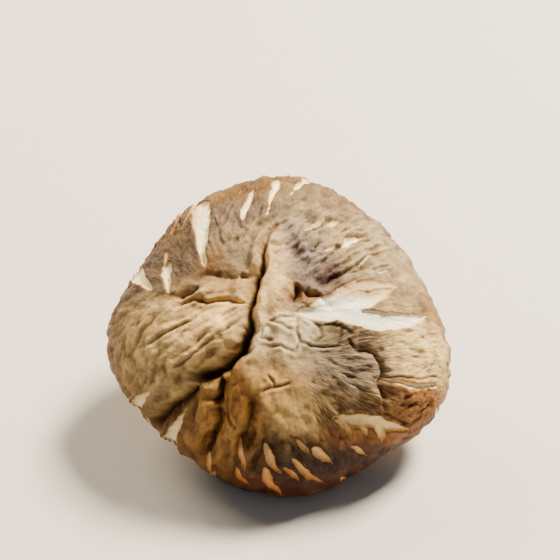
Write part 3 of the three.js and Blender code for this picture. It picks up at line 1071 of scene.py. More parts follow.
@dataclass(frozen=True)
class Strands:
    """Fibres of a finish: how fine they are, and how much of it they cover."""

    scale: float
    cover: float

    def add(self, nodes: NodeTree, shared: SharedEffects, attribute: str) -> tuple[Socket, Socket]:
        """Lays the strands along an attribute of the mesh.

        Args:
            nodes: The material's tree.
            shared: The shared effects.
            attribute: Name of the attribute that they follow.

        Returns:
            Their streak and their height.
        """
        inputs = {"Vector": nodes.attribute(attribute, "Vector"), "Scale": self.scale, "Cover": self.cover}
        outputs = nodes.group(shared.fibres, inputs).outputs
        return outputs["Streak"], outputs["Height"]


@dataclass(frozen=True)
class Relief:
    """The fine relief of a finish: puckers to a unit, how strong they are, and how high all of it stands."""

    scale: float
    pucker: float
    strength: float
    height: float

    def add(self, nodes: NodeTree, shared: SharedEffects, place: Socket, own: Socket, shader: Node) -> None:
        """Raises the surface of a material.

        Args:
            nodes: The material's tree.
            shared: The shared effects.
            place: Where the puckers are read.
            own: A height of the finish's own.
            shader: The material's shader.
        """
        inputs = {"Vector": place, "Scale": self.scale, "Pucker": self.pucker, "Height": own}
        raised = nodes.group(shared.dry_relief, inputs).outputs["Height"]
        bump = {"Strength": self.strength, "Distance": self.height, "Height": raised}
        nodes.join(nodes.add("ShaderNodeBump", bump).outputs[0], shader, "Normal")


def new_material(name: str) -> tuple[bpy.types.Material, NodeTree, Node]:
    """Makes a material with its shader alone in it.

    Args:
        name: Name of the material.

    Returns:
        The material, its tree and its Principled shader.
    """
    material = bpy.data.materials.new(name)
    material.use_nodes = True
    nodes = NodeTree(material.node_tree)
    nodes.tree.nodes.clear()
    shader = nodes.add("ShaderNodeBsdfPrincipled")
    nodes.add("ShaderNodeOutputMaterial", {"Surface": shader.outputs[0]})
    return material, nodes, shader


@dataclass(frozen=True)
class CapFinish:
    """Leathery skin in many browns, split down to dry cream flesh."""

    # furrow is the brown of the painted shade in furrows and creases, and of the random dark speckle.
    furrow: Tone = (54, 28, 12)
    worn: Tone = (228, 192, 126)
    pale_strand: Tone = (238, 204, 142)
    dark_strand: Tone = (44, 28, 20)
    # A brown for painted shade along the edge of each crack.
    edge_shade_brown: Tone = (92, 54, 24)
    lip: Tone = (190, 146, 86)
    lip_shade: Tone = (140, 96, 48)
    dark_patch: Colour = (0.55, 0.48, 0.42, 1)
    light_patch: Colour = (1.04, 1.03, 0.98, 1)
    lit_strand: Colour = (1.4, 1.4, 1.3, 1)
    # Painted light on the fine relief: crests lightened as lit, hollows darkened as shade.
    lit_crest: Colour = (1.5, 1.5, 1.45, 1)
    hollow_shade: Colour = (0.42, 0.3, 0.2, 1)
    # Darkens the flesh for its real stains and streaks, and as painted shade down the walls of a crack.
    stain_and_wall_shade: Colour = (0.7, 0.54, 0.36, 1)
    cloud: Patches = Patches(0.32)
    speckle: Patches = Patches(1.9)
    speckle_shade: Span = Span(0.2, 0.8, 0.2, 0.0)
    crest: Span = Span(0.5, 0.95, 0.0, 0.65)
    crest_wear: float = 0.1
    hollow: Span = Span(0.5, 0.1, 0.0, 0.8)
    crevice_shade_share: float = 0.9
    pale_strands: Strands = Strands(1.25, 0.62)
    pale_cover: Span = Span(0.15, 0.8, 0.0, 0.8)
    pale_share: float = 0.4
    dark_strands: Strands = Strands(1.6, 0.55)
    dark_cover: Span = Span(0.0, 0.8, 0.05, 0.58)
    ragged: float = 0.14
    flesh_edge: Span = Span(0.18, -0.02)
    # Painted shade: the wall of a crack darkens towards its edge, and a brown band lies along the edge.
    wall: Span = Span(0.1, -0.55)
    edge_shade: Span = Span(0.5, 0.15, 0.0, 0.2)
    flesh_speckle: Span = Span(0.1, 0.7, 0.16, 0.0)
    flesh_streak: float = 0.3
    roughness: Span = Span(0.0, 1.0, 0.62, 0.38)
    weave: Span = Span(0.0, 1.0, 0.25, 1.3)
    relief: Relief = Relief(2.0, 0.42, 0.8, 0.0004)
    specular: float = 0.18

    def material(self, shared: SharedEffects) -> bpy.types.Material:
        """Builds the material.

        Args:
            shared: The shared effects.

        Returns:
            The material.
        """
        material, nodes, shader = new_material("cap_skin")
        place = nodes.attribute("skin_place", "Vector")
        fibrous = nodes.attribute("fibrous")
        cloud = self.cloud.add(nodes, shared, place)
        speckle = self.speckle.add(nodes, shared, place)
        pale, pale_height = self.pale_strands.add(nodes, shared, "fibre_place")
        dark, dark_height = self.dark_strands.add(nodes, shared, "cross_place")

        skin = self.skin(nodes, cloud, speckle)
        lit = nodes.tinted(nodes.attribute("skin_tint", "Color"), self.lit_strand)
        strand = nodes.mix(self.pale_share, lit, linear(*self.pale_strand))
        skin = nodes.mix(nodes.times(pale, nodes.stretch(fibrous, self.pale_cover)), skin, strand)
        shade = nodes.times(dark, nodes.stretch(fibrous, self.dark_cover))
        skin = nodes.mix(shade, skin, linear(*self.dark_strand))
        # Painted shade: the skin darkens to the furrow brown in its furrows and hair-thin creases.
        crevice_shade = nodes.times(nodes.attribute("crevice_shade"), self.crevice_shade_share)
        skin = nodes.mix(crevice_shade, skin, linear(*self.furrow))
        opened = self.opened(nodes, skin, speckle, pale)
        lip = nodes.mix(cloud, linear(*self.lip_shade), linear(*self.lip))
        nodes.join(nodes.mix(nodes.attribute("under"), opened, lip), shader, "Base Color")

        nodes.join(nodes.stretch(cloud, self.roughness), shader, "Roughness")
        woven = nodes.times(nodes.plus(pale_height, dark_height), nodes.stretch(fibrous, self.weave))
        self.relief.add(nodes, shared, place, woven, shader)
        shader.inputs["Specular IOR Level"].default_value = self.specular
        return material

    def skin(self, nodes: NodeTree, cloud: Socket, speckle: Socket) -> Socket:
        """Colours the whole skin: its zones, clouded, lighter on the ridges with a painted highlight and a
        little wear, and painted shade in the hollows.

        Args:
            nodes: The material's tree.
            cloud: Broad patches.
            speckle: Fine patches.

        Returns:
            The colour's socket.
        """
        tint = nodes.attribute("skin_tint", "Color")
        ridge = nodes.attribute("ridge")
        skin = nodes.mix(cloud, nodes.tinted(tint, self.dark_patch), nodes.tinted(tint, self.light_patch))
        skin = nodes.mix(nodes.stretch(speckle, self.speckle_shade), skin, linear(*self.furrow))
        # Painted highlight on the ridges, with a little real wear, then painted shade in the hollows.
        crest = nodes.mix(self.crest_wear, nodes.tinted(skin, self.lit_crest), linear(*self.worn))
        skin = nodes.mix(nodes.stretch(ridge, self.crest), skin, crest)
        return nodes.mix(nodes.stretch(ridge, self.hollow), skin, nodes.tinted(skin, self.hollow_shade))

    def opened(self, nodes: NodeTree, skin: Socket, speckle: Socket, streak: Socket) -> Socket:
        """Opens the skin along the cracks: a brown band of painted shade at the torn edge, painted shade down
        the wall, then the pale flesh with its real stains.

        Args:
            nodes: The material's tree.
            skin: The colour of the whole skin.
            speckle: Fine patches, which tear the edge.
            streak: Fine streaks, which mark the flesh with darker lines.

        Returns:
            The colour's socket.
        """
        torn = nodes.times(nodes.math("SUBTRACT", speckle, 0.5), self.ragged)
        gap = nodes.plus(nodes.attribute("gap"), torn)
        flesh = nodes.attribute("flesh_tint", "Color")
        stained_and_shaded = nodes.tinted(flesh, self.stain_and_wall_shade)
        flesh = nodes.mix(nodes.stretch(speckle, self.flesh_speckle), flesh, stained_and_shaded)
        flesh = nodes.mix(nodes.times(streak, self.flesh_streak), flesh, stained_and_shaded)
        # Painted shade down the wall of the crack, then a brown band of painted shade along its edge.
        inside = nodes.mix(nodes.stretch(gap, self.wall), stained_and_shaded, flesh)
        edged = nodes.mix(nodes.stretch(gap, self.edge_shade), skin, linear(*self.edge_shade_brown))
        return nodes.mix(nodes.stretch(gap, self.flesh_edge), edged, inside)


@dataclass(frozen=True)
class GillFinish:
    """Thin golden blades, painted browner towards their roots as shade between them."""

    edge: Tone = (226, 182, 90)
    # The root brown is painted shade between the blades.
    root: Tone = (152, 98, 36)
    patch: Tone = (206, 146, 66)
    streak: Tone = (140, 90, 40)
    hang: Span = Span(0.0, 0.85)
    patches: Patches = Patches(260.0, 0.9)
    patch_share: float = 0.35
    strands: Strands = Strands(1.2, 0.45)
    streak_share: float = 0.28
    relief: Relief = Relief(2200.0, 0.4, 0.5, 0.00015)
    roughness: float = 0.72
    glow: float = 0.12
    glow_tone: Triple = (1.0, 0.6, 0.25)
    glow_reach: float = 0.0008

    def material(self, shared: SharedEffects) -> bpy.types.Material:
        """Builds the material.

        Args:
            shared: The shared effects.

        Returns:
            The material.
        """
        material, nodes, shader = new_material("gill_tissue")
        place = nodes.add("ShaderNodeTexCoord").outputs["Object"]
        streak, height = self.strands.add(nodes, shared, "fibre_place")
        hang = nodes.stretch(nodes.attribute("hang"), self.hang)
        # Painted shade: each blade darkens from its golden edge to the root brown between the blades.
        blade = nodes.mix(hang, linear(*self.root), linear(*self.edge))
        cloud = nodes.times(self.patches.add(nodes, shared, place), self.patch_share)
        clouded = nodes.mix(cloud, blade, linear(*self.patch))
        colour = nodes.mix(nodes.times(streak, self.streak_share), clouded, linear(*self.streak))
        nodes.join(colour, shader, "Base Color")
        self.relief.add(nodes, shared, place, height, shader)
        shader.inputs["Roughness"].default_value = self.roughness
        shader.inputs["Subsurface Weight"].default_value = self.glow
        shader.inputs["Subsurface Radius"].default_value = self.glow_tone
        shader.inputs["Subsurface Scale"].default_value = self.glow_reach
        return material


@dataclass(frozen=True)
class StemFinish:
    """Dry tan fibre with brown streaks down its length, painted shade in its grooves, and a torn brown foot.
    """

    pale: Tone = (196, 170, 124)
    tan: Tone = (158, 124, 78)
    streak: Tone = (118, 78, 42)
    foot: Tone = (104, 70, 40)
    patches: Patches = Patches(230.0, 1.1)
    strands: Strands = Strands(1.5, 0.5)
    streak_share: float = 0.62
    groove_shade_share: float = 0.7
    foot_start: Span = Span(0.86, 0.99)
    foot_patches: Span = Span(0.1, 0.6, 0.55, 1.0)
    relief: Relief = Relief(1300.0, 0.45, 0.75, 0.0003)
    roughness: float = 0.78
    specular: float = 0.3

    def material(self, shared: SharedEffects) -> bpy.types.Material:
        """Builds the material.

        Args:
            shared: The shared effects.

        Returns:
            The material.
        """
        material, nodes, shader = new_material("stem_fibre")
        place = nodes.add("ShaderNodeTexCoord").outputs["Object"]
        cloud = self.patches.add(nodes, shared, place)
        streak, height = self.strands.add(nodes, shared, "fibre_place")
        body = nodes.mix(cloud, linear(*self.tan), linear(*self.pale))
        body = nodes.mix(nodes.times(streak, self.streak_share), body, linear(*self.streak))
        # Painted shade: the grooves darken to the streak brown.
        crevice_shade = nodes.times(nodes.attribute("crevice_shade"), self.groove_shade_share)
        body = nodes.mix(crevice_shade, body, linear(*self.streak))
        foot = nodes.stretch(nodes.attribute("along"), self.foot_start)
        torn = nodes.times(foot, nodes.stretch(cloud, self.foot_patches))
        nodes.join(nodes.mix(torn, body, linear(*self.foot)), shader, "Base Color")
        self.relief.add(nodes, shared, place, height, shader)
        shader.inputs["Roughness"].default_value = self.roughness
        shader.inputs["Specular IOR Level"].default_value = self.specular
        return material


@dataclass(frozen=True)
class Skin:
    """Points of the flat skin, also by length and angle, and how far what is drawn on it drifts there."""

    x: Field
    y: Field
    length: Field
    angle: Field
    drift_x: Field
    drift_y: Field

    def drifted(self, share: Field | float) -> tuple[Field, Field]:
        """The points, moved by a share of their drift."""
        return self.x + share * self.drift_x, self.y + share * self.drift_y


@dataclass
class Cap:
    """The brown cap: its skin, its rolled rim and the hollow over the gills."""

    pose: Pose = field(default_factory=Pose)
    section: Section = field(
        default_factory=lambda: Section(
            [
                (0, 13.0), (6.2, 12.8), (12.4, 11.5), (18.0, 8.8), (22.1, 5.2), (24.3, 1.9),
                (25.0, -1.1), (24.4, -4.0), (22.5, -6.0), (20.2, -5.8), (18.8, -4.2),
            ]
        )
    )
    lobes: tuple[Wave, ...] = (
        Wave(2, 0.03, 310), Wave(3, 0.03, 255), Wave(4, 0.03, 340), Wave(5, 0.02, 250), Wave(7, 0.01, 205),
    )
    rim_waves: tuple[Wave, ...] = (Wave(3, 0.5, 20), Wave(5, 0.35, 130), Wave(9, 0.22, 75))
    rim_reach: Pair = (10.0, 27.0)
    low_places: tuple[Pair, ...] = ((-112.0, 2.9), (-68.0, 0.9))
    low_place_half_width: float = 10.0
    ceiling_height: float = 3.0
    ceiling_fall: float = 0.0065

    crown_length: float = 30.5
    crown_segments: int = 272
    rim_bands: int = 11
    hollow_radii: tuple[float, ...] = (18.3, 12.0, 6.0)

    # The short splits round the rim, each a little different.
    rim_splits: int = 26
    split_shift: Uneven = Uneven(0.0, 0.45, 5.1)
    split_start: Uneven = Uneven(29.6, 1.4, 2.3)
    split_end: Uneven = Uneven(35.0, 2.0, 3.7)
    split_bend: Uneven = Uneven(0.0, 0.03, 1.0)
    split_width: Uneven = Uneven(0.6, 0.65, 1.9)
    split_depth: float = 0.45

    # What is drawn on the skin drifts. A pair of lengths is where an effect starts and where it is whole,
    # measured from the crown, and for calm_lip from the inner lip.
    drift_right: tuple[Swell, ...] = (Swell(3.0, 11.3, 0.6), Swell(1.1, 4.1, 0.25))
    drift_up: tuple[Swell, ...] = (Swell(3.0, 47.9, 0.6), Swell(1.1, 31.7, 0.25))
    still_crown: Pair = (0.5, 4.0)
    zone_drift: float = 2.2
    crack_drift: float = 0.4
    crease_drift: float = 0.6
    tears: tuple[Swell, ...] = (Swell(1.3, 5.7, 0.3), Swell(0.6, 8.1, 0.1))
    wrinkles: tuple[Swell, ...] = (Swell(2.1, 71.3, 0.3), Swell(0.9, 15.9, 0.1))
    smooth_crown: Pair = (1.0, 4.0)
    puckers: tuple[Swell, ...] = (Swell(1.3, 21.5, 0.5), Swell(0.5, 3.9, 0.2))
    pucker_girth: float = 14.0
    pucker_run: float = 0.22
    shoulder: Pair = (12.0, 22.0)
    shoulder_share: float = 0.45
    rim_start: Pair = (31.0, 35.0)
    strands: Swell = Swell(1.5, 2.2, 0.12)
    strand_girth: float = 60.0
    strand_run: float = 0.9
    smooth_flesh: float = 0.75
    calm_lip: Pair = (0.5, 4.0)

    # The skin's fibres spread like a fan. The rest says how its finish reads the drawing.
    fan_middle: Pair = (-0.5, -7.4)
    fan_girth: float = 62.0
    fan_run: float = 0.45
    fan_skews: tuple[tuple[str, float], ...] = (("fibre_place", 0.006), ("cross_place", -0.012))
    crease_shade: float = 0.66
    ridge_contrast: float = 1.25
    ridge_level: float = 0.03
    underside: Pair = (35.5, 39.0)

    def outline(self, angle: Field) -> Field:
        """Share of the cap's radius at an angle."""
        return 1 + sum(lobe.at(angle) for lobe in self.lobes)

    def ceiling(self, radius: Field) -> Field:
        """Height of the flesh over the gills at a radius."""
        return self.ceiling_height - self.ceiling_fall * radius**2

    def rim_rise(self, angle: Field) -> Field:
        """How far the rim rises at an angle.

        Args:
            angle: Angles round the cap.

        Returns:
            The rise, in millimetres along the axis.
        """
        rise = sum(wave.at(angle) for wave in self.rim_waves)
        for turn, drop in self.low_places:
            off = np.degrees(np.angle(np.exp(1j * (angle - math.radians(turn)))))
            rise = rise - drop * hump(off, 0, self.low_place_half_width)
        return rise

    def flat_disc(self) -> bpy.types.Mesh:
        """Lays out the skin as a flat disc, with the hollow as a smaller disc just below it.

        Returns:
            A closed mesh of rings: the skin at z 0, the hollow at its own level.
        """
        bm = bmesh.new()
        bmesh.ops.create_grid(bm, x_segments=self.crown_segments, y_segments=self.crown_segments, size=1)
        for vertex in bm.verts:
            x, y = vertex.co.x, vertex.co.y
            ring = max(abs(x), abs(y))
            if ring > 1e-9:
                turn = (x + 1j * y) if abs(x) >= abs(y) else (y - 1j * x)
                angle = math.pi / 4 * turn.imag / turn.real + (math.pi if turn.real < 0 else 0)
                angle += 0 if abs(x) >= abs(y) else math.pi / 2
                vertex.co = (ring * math.cos(angle), ring * math.sin(angle), 0)
        bmesh.ops.scale(bm, vec=(self.crown_length, self.crown_length, 1), verts=bm.verts)
        rim = [edge for edge in bm.edges if edge.is_boundary]
        radius = self.crown_length
        lengths = np.linspace(self.crown_length, self.section.total, self.rim_bands + 1)[1:]
        rings = [(length, 0) for length in lengths]
        rings += [(hollow, HOLLOW_LEVEL) for hollow in self.hollow_radii]
        for target, depth in rings:
            grown = bmesh.ops.extrude_edge_only(bm, edges=rim)["geom"]
            ring_verts = [item for item in grown if isinstance(item, bmesh.types.BMVert)]
            rim = [item for item in grown if isinstance(item, bmesh.types.BMEdge)]
            bmesh.ops.scale(bm, vec=(target / radius, target / radius, 1), verts=ring_verts)
            for vertex in ring_verts:
                vertex.co.z = depth
            radius = target
        grown = bmesh.ops.extrude_edge_only(bm, edges=rim)["geom"]
        inner = [item for item in grown if isinstance(item, bmesh.types.BMVert)]
        bmesh.ops.pointmerge(bm, verts=inner, merge_co=(0, 0, HOLLOW_LEVEL))
        return new_mesh("cap_surface", bm)

    def all_cracks(self) -> tuple[Crack, ...]:
        """The cracks of the skin, with the short splits round the rolled rim.

        Returns:
            Every crack.
        """
        splits = []
        for i in range(self.rim_splits):
            start = (i + self.split_shift.of(i)) / self.rim_splits * FULL_TURN
            end = start + self.split_bend.of(i)
            ends = ((self.split_start.of(i), start), (self.split_end.of(i), end))
            route = tuple((length * math.cos(angle), length * math.sin(angle)) for length, angle in ends)
            splits.append(Crack(route, self.split_width.of(i), depth_share=self.split_depth))
        return CRACKS + tuple(splits)

    def folded(self, x: Field, y: Field) -> tuple[Field, Field]:
        """Finds how the folds and lumps move the skin.

        Args:
            x: Points to the right of the crown.
            y: Points up the slope.

        Returns:
            The rise of the skin, and how much painted shade each point takes from the depth of its furrow,
            from 0 to 1.
        """
        sinks, rises = zip(*(fold.at(x, y) for fold in FOLDS))
        sink = np.max(sinks, axis=0)
        rise = np.max(rises, axis=0)
        lumps = sum(lump.at(x, y) for lump in LUMPS)
        # Painted shade, darker the deeper the furrow.
        crevice_shade = np.clip((sink - FOLD_LIT) / FOLD_DARK, 0, 1) ** FOLD_DARKENING
        return rise / (1 + sink) - sink + lumps, crevice_shade

    def cracked(self, x: Field, y: Field, tear: Field) -> tuple[Field, Field, Field]:
        """Finds how the cracks move the skin.

        Args:
            x: Points to the right of the crown.
            y: Points up the slope.
            tear: How far the torn edge wanders at each point.

        Returns:
            The rise of the skin, how far it is open at each point, and how far off the torn edge is, below 0
            inside a crack.
        """
        gaps, openings, cuts, lifts = zip(*(crack.at(x, y, tear) for crack in self.all_cracks()))
        opened = np.max(openings, axis=0)
        rise = CRACK_LIFT * np.max(lifts, axis=0) * (1 - opened) - CRACK_DEPTH * np.max(cuts, axis=0)
        return rise, opened, np.minimum(np.min(gaps, axis=0), CRACK_REACH)

    def creased(self, x: Field, y: Field) -> tuple[Field, Field]:
        """Finds the hair-thin creases and the low banks along them.

        Args:
            x: Points to the right of the crown.
            y: Points up the slope.

        Returns:
            How far each point lies in a crease, and how far on a bank, both from 0 to 1.
        """
        crease = np.zeros(x.shape)
        bank = np.zeros(x.shape)
        for route in CREASES:
            off, along, _ = nearest(route, x, y)
            fade = ramp(np.minimum(along, 1 - along), *CREASE_ENDS)
            crease = np.maximum(crease, fade * hump(off, 0, CREASE_WIDTH))
            bank = np.maximum(bank, fade * hump(off, CREASE_BANK_PLACE, CREASE_BANK_WIDTH))
        return crease, bank

    def blended(self, zones: Sequence[Zone], tone: Tone, x: Field, y: Field) -> tuple[Field, Field]:
        """Blends zones of colour into each other.

        Args:
            zones: The zones.
            tone: The colour away from all of them.
            x: Points to the right of the crown.
            y: Points up the slope.

        Returns:
            A colour for each point, and how fibrous it is from 0 to 1.
        """
        weights = np.full(x.shape, BACKGROUND_WEIGHT)
        tint = weights[:, None] * np.array(linear(*tone))
        fibrous = BACKGROUND_FIBRES * weights
        for zone in zones:
            weight = zone.weight(x, y)
            weights = weights + weight
            tint = tint + weight[:, None] * np.array(linear(*zone.tone))
            fibrous = fibrous + zone.fibrous * weight
        return tint / weights[:, None], fibrous / weights

    def drawn(self, skin: Skin) -> tuple[Field, dict[str, Field]]:
        """Draws every furrow, crack, crease and wrinkle on the flat skin.

        Args:
            skin: The points of the skin.

        Returns:
            The rise of the skin, and the values that its finish reads.
        """
        length = skin.length
        flat = flat_rows(skin.x, skin.y)
        folds, crevice_shade = self.folded(*skin.drifted(ramp(length, *self.still_crown)))
        tint, fibrous = self.blended(SKIN_ZONES, SKIN_TONE, *skin.drifted(self.zone_drift))
        flesh, _ = self.blended(FLESH_ZONES, FLESH_TONE, skin.x, skin.y)
        tear = swelling(self.tears, flat)
        cracks, opened, gap = self.cracked(*skin.drifted(self.crack_drift), tear)
        crease, bank = self.creased(*skin.drifted(self.crease_drift))
        crease = crease * (1 - opened)

        wrapped = around(skin.angle, self.pucker_girth, length * self.pucker_run)
        dried = self.shoulder_share * ramp(length, *self.shoulder)
        dried = dried + (1 - self.shoulder_share) * ramp(length, *self.rim_start)
        fine = dried * swelling(self.puckers, wrapped) + swelling(self.wrinkles, flat)
        ridges = sum(patch.at(*skin.drifted(1.0)) for patch in WRINKLES)
        fine = fine + ridges * ramp(length, *self.smooth_crown) + CREASE_BANK * bank
        lengthwise = around(skin.angle, self.strand_girth, length * self.strand_run)
        fine = fine + fibrous * self.strands.at(lengthwise)
        raised = folds + cracks + fine * (1 - self.smooth_flesh * opened) - CREASE_DEPTH * crease
        looks = {
            "skin_place": flat,
            "fibrous": fibrous,
            "gap": gap,
            "crevice_shade": np.maximum(crevice_shade, self.crease_shade * crease),
            "ridge": np.clip(0.5 + self.ridge_contrast * (fine - self.ridge_level), 0, 1),
            "under": ramp(length, *self.underside),
            "skin_tint": tint,
            "flesh_tint": flesh,
        }
        return raised * ramp(self.section.total - length, *self.calm_lip), looks

    def fanned(self, skin: Skin) -> dict[str, Field]:
        """Spreads two crossing sets of fibres like a fan over the skin.

        Args:
            skin: The points of the skin.

        Returns:
            Where each set of fibres is read.
        """
        x = skin.x - self.fan_middle[0]
        y = skin.y - self.fan_middle[1]
        reach = np.hypot(x, y)
        turn = np.arctan2(y, x)
        return {
            name: around(turn + skew * reach, self.fan_girth, reach * self.fan_run)
            for name, skew in self.fan_skews
        }

    def build(self, material: bpy.types.Material) -> bpy.types.Object:
        """Rolls the flat disc over the section and puts the cap in its place.

        Args:
            material: The cap's finish.

        Returns:
            The cap.
        """
        mesh = self.flat_disc()
        x, y, level = coordinates(mesh).T
        on_skin = level > HOLLOW_LEVEL / 2
        length = np.hypot(x, y)
        angle = np.arctan2(y, x)
        flat = flat_rows(x, y)
        drift_x = swelling(self.drift_right, flat)
        drift_y = swelling(self.drift_up, flat)
        skin = Skin(x, y, length, angle, drift_x, drift_y)
        raised, looks = self.drawn(skin)

        radius, height, run, climb = self.section.read(np.where(on_skin, length, 0))
        rise = ramp(length, *self.rim_reach) * self.rim_rise(angle)
        out = np.where(on_skin, radius * self.outline(angle) - climb * raised, length * self.outline(angle))
        w = np.where(on_skin, height + rise + run * raised, self.ceiling(length))
        move(mesh, self.pose.placed(out * np.cos(angle), out * np.sin(angle), w))

        looks["gap"] = np.where(on_skin, looks["gap"], CRACK_REACH)
        looks["under"] = np.where(on_skin, looks["under"], 1.0)
        for name, values in {**looks, **self.fanned(skin)}.items():
            paint(mesh, name, values)
        return place_piece("cap", mesh, material)


@dataclass
class Gills:
    """The golden blades that hang in the hollow, in three lengths."""

    cap: Cap
    count: int = 144
    outer: float = 17.9
    hole: float = 5.0
    layer: float = 1.0
    depth: float = 3.0
    half_thickness: float = 0.13
    widest_share: float = 0.3
    root_share: float = 0.3
    seam: float = 0.3
    # Where a gill of each kind starts, and the lengths over which it deepens and ends.
    starts: tuple[float, ...] = (0.0, 11.2, 8.0, 13.4)
    start_length: float = 2.5
    inner_depth: float = 0.6
    inner_length: float = 3.0
    outer_length: float = 2.4
    unevenness: float = 0.09
    unevenness_rate: float = 12.9898
    # A gill sways to its sides by a share of the pitch, in waves that differ from gill to gill.
    sway: float = 0.22
    sway_rate: float = 0.9
    sway_shift: Uneven = Uneven(0.0, 2.4, 1.7)
    still_until: float = 9.0
    stations: int = 30
    steps: int = 4
    fibre_girth: float = 30.0
    fibre_run: float = 0.5
    crisp_edge: float = math.radians(55)

    def hang(self, gill: Field, radius: Field) -> Field:
        """How deep each gill hangs at a radius.

        Args:
            gill: Number of the gill.
            radius: Distance from the axis.

        Returns:
            The depth in millimetres.
        """
        start = np.array(self.starts)[gill % len(self.starts)]
        short = ramp(radius - start, 0, self.start_length)
        whole = ramp(radius - self.hole, 0, self.inner_length)
        full = self.inner_depth + (1 - self.inner_depth) * whole
        uneven = 1 - self.unevenness * np.abs(np.sin(gill * self.unevenness_rate))
        end = ramp(self.outer - radius, 0, self.outer_length)
        return self.depth * uneven * np.where(start > 0, short, full) * end

    def build(self, material: bpy.types.Material) -> bpy.types.Object:
        """Draws a closed ring down into blades.

        Args:
            material: The gills' finish.

        Returns:
            The gills.
        """
        over = (self.outer, (self.outer + self.hole) / 2, self.hole)
        rows = self.stations + len(over)
        columns = self.count * self.steps
        mesh, column, row = unit_grid(columns, rows, "gills_surface")
        column = column % columns
        row = row % rows
        radii = np.concatenate((np.linspace(self.hole, self.outer, self.stations), over))
        radius = radii[row]
        below = row < self.stations

        gill = column // self.steps
        pitch = FULL_TURN / self.count
        blade = np.minimum(self.half_thickness / radius, self.widest_share * pitch)
        root = blade + self.root_share * (pitch / 2 - blade)
        corner = np.choose(column % self.steps, (-blade, blade, root, pitch - root))
        swing = np.sin(radius * self.sway_rate + self.sway_shift.of(gill))
        swing = swing * ramp(radius, self.hole, self.still_until)
        angle = gill * pitch + corner + np.where(below, self.sway * pitch * swing, 0)
        hangs = (column % self.steps < 2) & below
        shape = self.cap.outline(angle) - 1
        out = radius * (1 + ramp(radius, self.hole, 2 * self.hole) * shape)
        top = self.cap.ceiling(radius) - self.seam
        hanging = np.where(hangs, self.hang(gill, radius), 0)
        w = np.where(below, top - self.layer - hanging, top)
        paint(mesh, "hang", hanging / self.depth)
        paint(mesh, "fibre_place", around(angle, self.fibre_girth, radius * self.fibre_run))
        places = close_grid(mesh, np.column_stack((out * np.cos(angle), out * np.sin(angle), w)))
        move(mesh, self.cap.pose.placed(*places.T))
        mesh.set_sharp_from_angle(angle=self.crisp_edge)
        return place_piece("gills", mesh, material)


